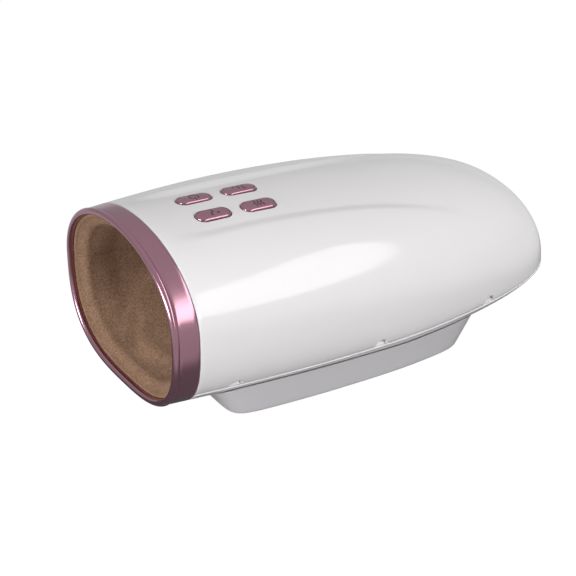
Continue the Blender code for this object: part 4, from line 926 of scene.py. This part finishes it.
def blownCloth(name, points, faces, pinned):
    # where each point lies after the pressure has worked on the cloth
    mesh = bpy.data.meshes.new(name)
    mesh.from_pydata([tuple(point) for point in points], [], faces)
    cloth = addObject(name, mesh)
    centre = sum(points, Vector()) / len(points)
    middle = mesh.polygons[len(mesh.polygons) // 3]
    if middle.normal.dot(Vector((0, middle.center.y, centre.z)) - middle.center) < 0:
        mesh.flip_normals()
    pins = cloth.vertex_groups.new(name=clothSettings["vertex_group_mass"])
    pins.add(pinned, 1.0, "REPLACE")
    modifier = cloth.modifiers.new("cloth", "CLOTH")
    for label, value in clothSettings.items():
        setattr(modifier.settings, label, value)
    modifier.settings.effector_weights.gravity = 0
    modifier.collision_settings.use_collision = False
    for step in range(1, clothFrames + 1):
        scene.frame_set(step)
    graph = bpy.context.evaluated_depsgraph_get()
    blown = [vertex.co.copy() for vertex in cloth.evaluated_get(graph).data.vertices]
    scene.frame_set(1)
    bpy.data.objects.remove(cloth, do_unlink=True)
    return blown


def fluffed(name, grid):
    # Cloth, pinned at its hem, its two seams and its end, is blown into the hand space and capped
    rows, columns = len(grid), len(grid[0])
    points = [point for row in grid for point in row]
    fromSeam = [min(index % columns, columns - 1 - index % columns) for index in range(len(points))]
    pinned = [index for index, point in enumerate(points)
              if not fromSeam[index] or not sleeve["hemPinned"] <= stationOf(point) <= sleeve["rearPinned"]]
    blown = blownCloth(name, points, gridFaces(rows, columns, False), pinned)
    moved = []
    for point, target, away in zip(points, blown, fromSeam):
        inward, step = towardsMiddle(point), target - point
        rise = step.dot(inward)
        step += inward * (max(rise, sleeve["cap"] * sleeve["leastSwell"]) - rise)  # it may only swell inward
        pastHem = (stationOf(point) - sleeve["hemPinned"]) / sleeve["hemFade"]
        free = smooth(pastHem) * smooth(away / sleeve["seamFade"])
        moved.append(point + step * free * min(1, sleeve["cap"] / max(step.length, 1e-9)))
    return [moved[row * columns:(row + 1) * columns] for row in range(rows)]


def makeCushion(name, side):
    grid = cushionGrid(side)
    inner = fluffed(name + "_cloth", grid)
    outer = cushionGrid(side, sleeve["wall"])
    end = sleeve["endStation"]
    tips = [Vector((0, worldY(end + grow), sleeveSection(end).widest)) for grow in (sleeve["wall"], 0)]
    made = wallPiece(name, outer, inner, tips)
    made.data.set_sharp_from_angle(angle=radians(180))
    division = made.modifiers.new("soft", "SUBSURF")
    division.levels = division.render_levels = 1
    applyModifiers(made)
    return made


print("making the sleeve")
upperCushion = makeCushion("sleeve_upper_cushion", 1)
lowerCushion = makeCushion("sleeve_lower_cushion", -1)


# Materials

def toLinear(hexColour):
    channels = [int(hexColour[start:start + 2], 16) / 255 for start in (0, 2, 4)]
    return (*(value / 12.92 if value <= 0.04045 else ((value + 0.055) / 1.055) ** 2.4 for value in channels), 1)


def addNode(tree, kind, inputs=None, **settings):
    node = tree.nodes.new(kind)
    for name, value in settings.items():
        setattr(node, name, value)
    for name, value in (inputs or {}).items():
        if isinstance(value, bpy.types.NodeSocket):
            tree.links.new(value, node.inputs[name])
        else:
            node.inputs[name].default_value = value
    return node


def startMaterial(name, **shaderValues):
    material = bpy.data.materials.new(name)
    material.use_nodes = True
    tree = material.node_tree
    shader = tree.nodes["Principled BSDF"]
    for label, value in shaderValues.items():
        shader.inputs[label.replace("_", " ")].default_value = value
    place = addNode(tree, "ShaderNodeTexCoord").outputs["Object"]
    return material, tree, shader, place


driftRange = (0.3, 0.7)  # the noise's usual lowest and highest value


def makeFinish(name, colour, darker, roughness, tintSize=30, grainSize=0.5, grainDepth=0.004, **values):
    # moulded or coated: a slow drift of tone, an uneven gloss and a fine grain, with the three sizes in mm
    material, tree, shader, place = startMaterial(name, **values)
    drift = addNode(tree, "ShaderNodeTexNoise", {"Vector": place, "Scale": 1 / (tintSize * mm), "Detail": 3.0})
    tone = addNode(tree, "ShaderNodeMixRGB", {
        "Fac": drift.outputs["Fac"], "Color1": toLinear(colour), "Color2": toLinear(darker)})
    gloss = addNode(tree, "ShaderNodeMapRange", {
        "Value": drift.outputs["Fac"], "From Min": driftRange[0], "From Max": driftRange[1],
        "To Min": roughness[0], "To Max": roughness[1]})
    grain = addNode(tree, "ShaderNodeTexNoise", {"Vector": place, "Scale": 1 / (grainSize * mm), "Detail": 2.0})
    bump = addNode(tree, "ShaderNodeBump", {
        "Height": grain.outputs["Fac"], "Strength": 1.0, "Distance": grainDepth * mm})
    tree.links.new(tone.outputs["Color"], shader.inputs["Base Color"])
    tree.links.new(gloss.outputs["Result"], shader.inputs["Roughness"])
    tree.links.new(bump.outputs["Normal"], shader.inputs["Normal"])
    return material


microfibreLook = {
    "shade": "6E5443",
    "tip": "AB8B73",
    "patchSize": 18 * mm,
    "patchShare": 0.25,
    "napSize": 1.1 * mm,
    "speckSize": 0.45 * mm,
    "speckShare": -0.35,
    "toneRange": (0.22, 0.78),
    "relief": 0.22 * mm,
    "reliefStrength": 0.8,
}


def microfibreMaterial():
    # Brushed polyester knit: a short soft nap that catches light at its tips, with patches stroked flat
    look = microfibreLook
    shade, tip = toLinear(look["shade"]), toLinear(look["tip"])
    material, tree, shader, place = startMaterial(
        "brushed_microfibre", Roughness=0.95, Sheen_Weight=0.2, Sheen_Roughness=0.5, Sheen_Tint=tip,
        Specular_IOR_Level=0.1)
    patches = addNode(tree, "ShaderNodeTexNoise", {
        "Vector": place, "Scale": 1 / look["patchSize"], "Detail": 3.0})
    nap = addNode(tree, "ShaderNodeTexNoise", {
        "Vector": place, "Scale": 1 / look["napSize"], "Detail": 4.0, "Roughness": 0.65})
    specks = addNode(tree, "ShaderNodeTexVoronoi", {"Vector": place, "Scale": 1 / look["speckSize"]})
    fine = addNode(tree, "ShaderNodeMath", {
        0: specks.outputs["Distance"], 1: look["speckShare"], 2: nap.outputs["Fac"]}, operation="MULTIPLY_ADD")
    both = addNode(tree, "ShaderNodeMath", {
        0: patches.outputs["Fac"], 1: look["patchShare"], 2: fine.outputs[0]}, operation="MULTIPLY_ADD")
    low, high = look["toneRange"]
    tone = addNode(tree, "ShaderNodeMapRange", {"Value": both.outputs[0], "From Min": low, "From Max": high})
    colour = addNode(tree, "ShaderNodeMixRGB", {"Fac": tone.outputs["Result"], "Color1": shade, "Color2": tip})
    bump = addNode(tree, "ShaderNodeBump", {
        "Height": fine.outputs[0], "Strength": look["reliefStrength"], "Distance": look["relief"]})
    tree.links.new(colour.outputs["Color"], shader.inputs["Base Color"])
    tree.links.new(bump.outputs["Normal"], shader.inputs["Normal"])
    return material


print("making the materials")
slotMaterials = {
    # Injection-moulded ABS from a polished mould: white, deep gloss, a very faint orange peel
    "white_gloss_abs": makeFinish("polished_moulded_abs", "E2E0E1", "DFDDDE", (0.08, 0.11),
                                  grainSize=1.2, grainDepth=0.003, IOR=1.54),
    # The same ABS from a fine-grained mould: satin
    "white_satin_abs": makeFinish("satin_moulded_abs", "BBB9BC", "B6B4B7", (0.32, 0.4),
                                  grainSize=0.6, grainDepth=0.008, IOR=1.54),
    # Vacuum-metallised ABS under a tinted lacquer: a pink metal with a soft edge to its reflections
    "rose_gold_coating": makeFinish("metallised_rose_lacquer", "B98A9A", "B18293", (0.18, 0.22), grainSize=0.4,
                                    grainDepth=0.002, Metallic=1.0, Coat_Weight=0.3, Coat_Roughness=0.06),
    "tan_brushed_fabric": microfibreMaterial(),
    # Moulded rubber from an eroded mould: dark grey, dull
    "grey_rubber": makeFinish("moulded_rubber", "57575A", "4C4C4F", (0.7, 0.85), grainDepth=0.02, IOR=1.52),
    # Extruded silicone: milky, with a soft sheen
    "silicone_hose": makeFinish("extruded_silicone", "D2D0CA", "C6C3BC", (0.35, 0.45), tintSize=8, IOR=1.41),
    # Moulded nylon: near black, half matt
    "black_nylon": makeFinish("moulded_black_nylon", "2B2B2E", "232325", (0.42, 0.55), grainDepth=0.012,
                              IOR=1.53),
    # Moulded ABS as it leaves a plain mould: grey, half matt
    "grey_abs": makeFinish("unpainted_grey_abs", "9D9EA0", "949597", (0.42, 0.52), grainDepth=0.01, IOR=1.54),
    # Welded film: slightly wrinkled, with a broken gloss
    "air_cell_film": makeFinish("welded_polyurethane_film", "736E69", "66615D", (0.35, 0.5), tintSize=12,
                                grainSize=2.5, grainDepth=0.06, IOR=1.5),
    # Laminated polyimide film: amber, smooth
    "heater_film": makeFinish("polyimide_heater_film", "AA5A2E", "964B24", (0.3, 0.4), tintSize=5, IOR=1.5),
    # Fibreglass board under printed solder mask: green, smooth
    "circuit_board": makeFinish("solder_masked_board", "1F5E3C", "194E31", (0.3, 0.42), tintSize=3, IOR=1.5),
    # Heat-shrunk film drawn tight over the cell: blue, fairly glossy
    "battery_sleeve": makeFinish("battery_shrink_sleeve", "2C5F9E", "25518A", (0.22, 0.32), tintSize=10,
                                 IOR=1.5),
    # Moulded acetal: dull red, slightly waxy
    "switch_plunger": makeFinish("moulded_red_acetal", "90302C", "7F2825", (0.35, 0.45), IOR=1.48),
    # Zinc-plated steel: pale grey metal, clouded
    "zinc_steel": makeFinish("zinc_plated_steel", "B9BBBD", "A5A8AB", (0.25, 0.4), tintSize=2, grainSize=0.3,
                             grainDepth=0.006, Metallic=1.0),
}
# Spun polyester: a matt thread a little paler than the fabric
sewingThread = makeFinish("spun_polyester_thread", "8F7763", "7C6552", (0.7, 0.85), tintSize=6, grainSize=0.3,
                          grainDepth=0.03)
for part in frame["record"]["subparts"]:
    for slot in bpy.data.objects[part["node"]].material_slots:
        slot.material = slotMaterials[part["material_slot"]]


# Stitches along the two side seams, made with Geometry Nodes

# inputs of the node group
stitch = {
    "Spacing": 3.4 * mm,
    "Length": 2.4 * mm,
    "Thickness": 0.55 * mm,
}
seam = {
    "lift": 0.15 * mm,
    "first": 12 * mm,
    "last": 180 * mm,
    "points": 80,
}


def stitchTree():
    tree = bpy.data.node_groups.new("seam_stitches", "GeometryNodeTree")
    for label, way, kind in (("Path", "INPUT", "Geometry"), *((size, "INPUT", "Float") for size in stitch),
                             ("Thread", "INPUT", "Material"), ("Stitches", "OUTPUT", "Geometry")):
        tree.interface.new_socket(label, in_out=way, socket_type="NodeSocket" + kind)
    given = addNode(tree, "NodeGroupInput").outputs
    curve = addNode(tree, "GeometryNodeMeshToCurve", {"Mesh": given["Path"]})
    places = addNode(tree, "GeometryNodeCurveToPoints", {
        "Curve": curve.outputs["Curve"], "Length": given["Spacing"]}, mode="LENGTH")
    bead = addNode(tree, "GeometryNodeMeshUVSphere", {"Segments": 8, "Rings": 6, "Radius": 0.5})
    size = addNode(tree, "ShaderNodeCombineXYZ", {
        "X": given["Thickness"], "Y": given["Thickness"], "Z": given["Length"]})
    shaped = addNode(tree, "GeometryNodeTransform", {
        "Geometry": bead.outputs["Mesh"], "Scale": size.outputs["Vector"]})
    placed = addNode(tree, "GeometryNodeInstanceOnPoints", {
        "Points": places.outputs["Points"], "Instance": shaped.outputs["Geometry"],
        "Rotation": places.outputs["Rotation"]})
    real = addNode(tree, "GeometryNodeRealizeInstances", {"Geometry": placed.outputs["Instances"]})
    coloured = addNode(tree, "GeometryNodeSetMaterial", {
        "Geometry": real.outputs["Geometry"], "Material": given["Thread"]})
    addNode(tree, "NodeGroupOutput", {"Stitches": coloured.outputs["Geometry"]})
    return tree


def makeStitches():
    points, edges = [], []
    for side in (1, -1):
        for step, station in enumerate(evenly(seam["first"], seam["last"], seam["points"] - 1)):
            place = sectionPoint(sleeveSection(station, -seam["lift"]), station, 0)
            if step:
                edges.append((len(points) - 1, len(points)))
            points.append((side * place.x, place.y, place.z))
    mesh = bpy.data.meshes.new("side_seam_stitches")
    mesh.from_pydata(points, edges, [])
    made = addObject("side_seam_stitches", mesh)
    modifier = made.modifiers.new("stitches", "NODES")
    modifier.node_group = stitchTree()
    given = {**stitch, "Thread": sewingThread}
    for item in modifier.node_group.interface.items_tree:
        if item.name in given:
            modifier[item.identifier] = given[item.name]
    applyModifiers(made)
    made.data.shade_smooth()
    return made


print("making the stitches")
sideStitches = makeStitches()


# What each new piece stands for

def dress(piece, bodyName, slotName, *nodes):
    piece.data.materials.clear()
    piece.data.materials.append(slotMaterials[slotName])
    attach(piece, bodyName)
    if nodes:
        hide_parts(*nodes)


print("dressing the frame")
dress(upperShell, "casing", "white_gloss_abs", "upper_shell")
dress(lowerShell, "casing", "white_gloss_abs", "lower_shell")
dress(footBlock, "casing", "white_satin_abs", "base_cover")
dress(rolledRing, "casing", "rose_gold_coating", "front_ring")
for keyName, pill in keyPills.items():
    dress(pill, f"{keyName}_key", "rose_gold_coating", f"key_{keyName}")
    dress(keySigns[keyName], f"{keyName}_key", "black_nylon")
for cushion in (upperCushion, lowerCushion):
    dress(cushion, "casing", "tan_brushed_fabric", "liner")
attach(sideStitches, "casing")


# Floor, light and camera

studio = {
    "floorColour": "7C7C7C",
    "floorHalf": 6.0,
    "whiteStrength": 1.09,
    "glowToCamera": 0.92,
    # painted shadow seen in gloss: the floor's glow is dark inside an oval round the object and pale outside it
    "glowInGloss": (0.0, 0.42),
    "shadeHalf": (134 * mm, 210 * mm),
    "shadeCentre": -15 * mm,
    "shadeEdge": (0.92, 1.1),
    "roomStrength": (0.39, 0.6),
    "azimuth": 56.402,
    "elevation": 30.488,
    "distance": 1206 * mm,
    "target": (0, -9.8 * mm, 56.4 * mm),
    "lens": 133.85,
    "shift": (-0.035, -0.0777),
}
# name: (shape, place, target, turn about its own axis in degrees, width, height, power, seen in gloss)
softboxes = {
    "side_strip": ("ELLIPSE", (1.26, 0.576, 0.876), (0.37, 0.34, 0.05), 46, 3.1, 0.6, 13.5, True),
    "side_fill": ("RECTANGLE", (1.25, 0.15, 1.0), (0.0, 0.0, 0.06), 0, 1.0, 1.0, 5.5, False),
    "rear_fill": ("RECTANGLE", (-1.2, 1.0, 1.0), (0.0, 0.0, 0.06), 0, 1.0, 1.0, 2.5, False),
    "mouth_fill": ("RECTANGLE", (0.3, -1.5, 0.2), (0.0, -0.13, 0.06), 0, 0.8, 0.5, 18, True),
}


def viewDirection(azimuth, elevation):
    azimuth, elevation = radians(azimuth), radians(elevation)
    return Vector((sin(azimuth) * cos(elevation), -cos(azimuth) * cos(elevation), sin(elevation)))


def aim(thing, target, turn=0.0):
    direction = Vector(target) - thing.location
    facing = direction.to_track_quat("-Z", "Y").to_matrix() @ Matrix.Rotation(radians(turn), 3, "Z")
    thing.rotation_euler = facing.to_euler()


def makeFloor():
    # the camera sees it nearly white with a shadow; gloss sees it pale, with a painted shadow: dark in an oval
    # close round the object
    half = studio["floorHalf"]
    mesh = bpy.data.meshes.new("floor")
    corners = [(-half, -half, 0), (half, -half, 0), (half, half, 0), (-half, half, 0)]
    mesh.from_pydata(corners, [], [(0, 1, 2, 3)])
    floor = addObject("floor", mesh)
    material, tree, shader, place = startMaterial("floor_paper", Roughness=0.9, Specular_IOR_Level=0.1)
    shader.inputs["Base Color"].default_value = toLinear(studio["floorColour"])
    rays = addNode(tree, "ShaderNodeLightPath").outputs
    mirrored = addNode(tree, "ShaderNodeMath", {
        0: rays["Is Glossy Ray"], 1: rays["Is Transmission Ray"]}, operation="MAXIMUM")
    # painted shadow: the glow that gloss rays see is dark inside an oval round the object and pale outside it
    halfX, halfY = studio["shadeHalf"]
    oval = addNode(tree, "ShaderNodeVectorMath", {
        0: place, 1: (1 / halfX, 1 / halfY, 0), 2: (0, -studio["shadeCentre"] / halfY, 0)},
        operation="MULTIPLY_ADD")
    reach = addNode(tree, "ShaderNodeVectorMath", {0: oval.outputs["Vector"]}, operation="LENGTH")
    inner, outer = studio["shadeEdge"]
    dark, pale = studio["glowInGloss"]
    paintedShadowGlow = addNode(tree, "ShaderNodeMapRange", {
        "Value": reach.outputs["Value"], "From Min": inner, "From Max": outer, "To Min": dark, "To Max": pale},
        interpolation_type="SMOOTHSTEP")
    gloss = addNode(tree, "ShaderNodeMath", {
        0: mirrored.outputs[0], 1: paintedShadowGlow.outputs["Result"]}, operation="MULTIPLY")
    share = addNode(tree, "ShaderNodeMath", {
        0: rays["Is Camera Ray"], 1: studio["glowToCamera"], 2: gloss.outputs[0]}, operation="MULTIPLY_ADD")
    glow = addNode(tree, "ShaderNodeEmission", {"Color": (1, 1, 1, 1), "Strength": studio["whiteStrength"]})
    both = addNode(tree, "ShaderNodeMixShader", {0: share.outputs[0], 1: shader.outputs[0], 2: glow.outputs[0]})
    tree.links.new(both.outputs[0], tree.nodes["Material Output"].inputs["Surface"])
    mesh.materials.append(material)


def makeWorld():
    # a pale room, a little brighter overhead than at the floor
    world = bpy.data.worlds.new("studio")
    world.use_nodes = True
    scene.world = world
    tree = world.node_tree
    backdrop = tree.nodes["Background"]
    backdrop.inputs["Color"].default_value = (1, 1, 1, 1)
    direction = addNode(tree, "ShaderNodeTexCoord").outputs["Object"]
    up = addNode(tree, "ShaderNodeSeparateXYZ", {"Vector": direction})
    low, high = studio["roomStrength"]
    strength = addNode(tree, "ShaderNodeMapRange", {"Value": up.outputs["Z"], "To Min": low, "To Max": high})
    tree.links.new(strength.outputs["Result"], backdrop.inputs["Strength"])


def makeLights():
    for name, (shape, place, target, turn, width, height, power, inGloss) in softboxes.items():
        lamp = bpy.data.lights.new(name, "AREA")
        lamp.shape = shape
        lamp.size, lamp.size_y = width, height
        lamp.energy = power
        box = addObject(name, lamp)
        box.location = place
        box.visible_glossy = inGloss
        box.visible_camera = False
        aim(box, target, turn)


def makeCamera():
    lens = bpy.data.cameras.new("camera")
    lens.sensor_width = 36
    lens.lens = studio["lens"]
    lens.shift_x, lens.shift_y = studio["shift"]
    camera = addObject("camera", lens)
    target = Vector(studio["target"])
    camera.location = target + viewDirection(studio["azimuth"], studio["elevation"]) * studio["distance"]
    aim(camera, target)
    scene.camera = camera


print("setting the studio")
makeFloor()
makeWorld()
makeLights()
makeCamera()
scene.view_settings.view_transform = "Standard"
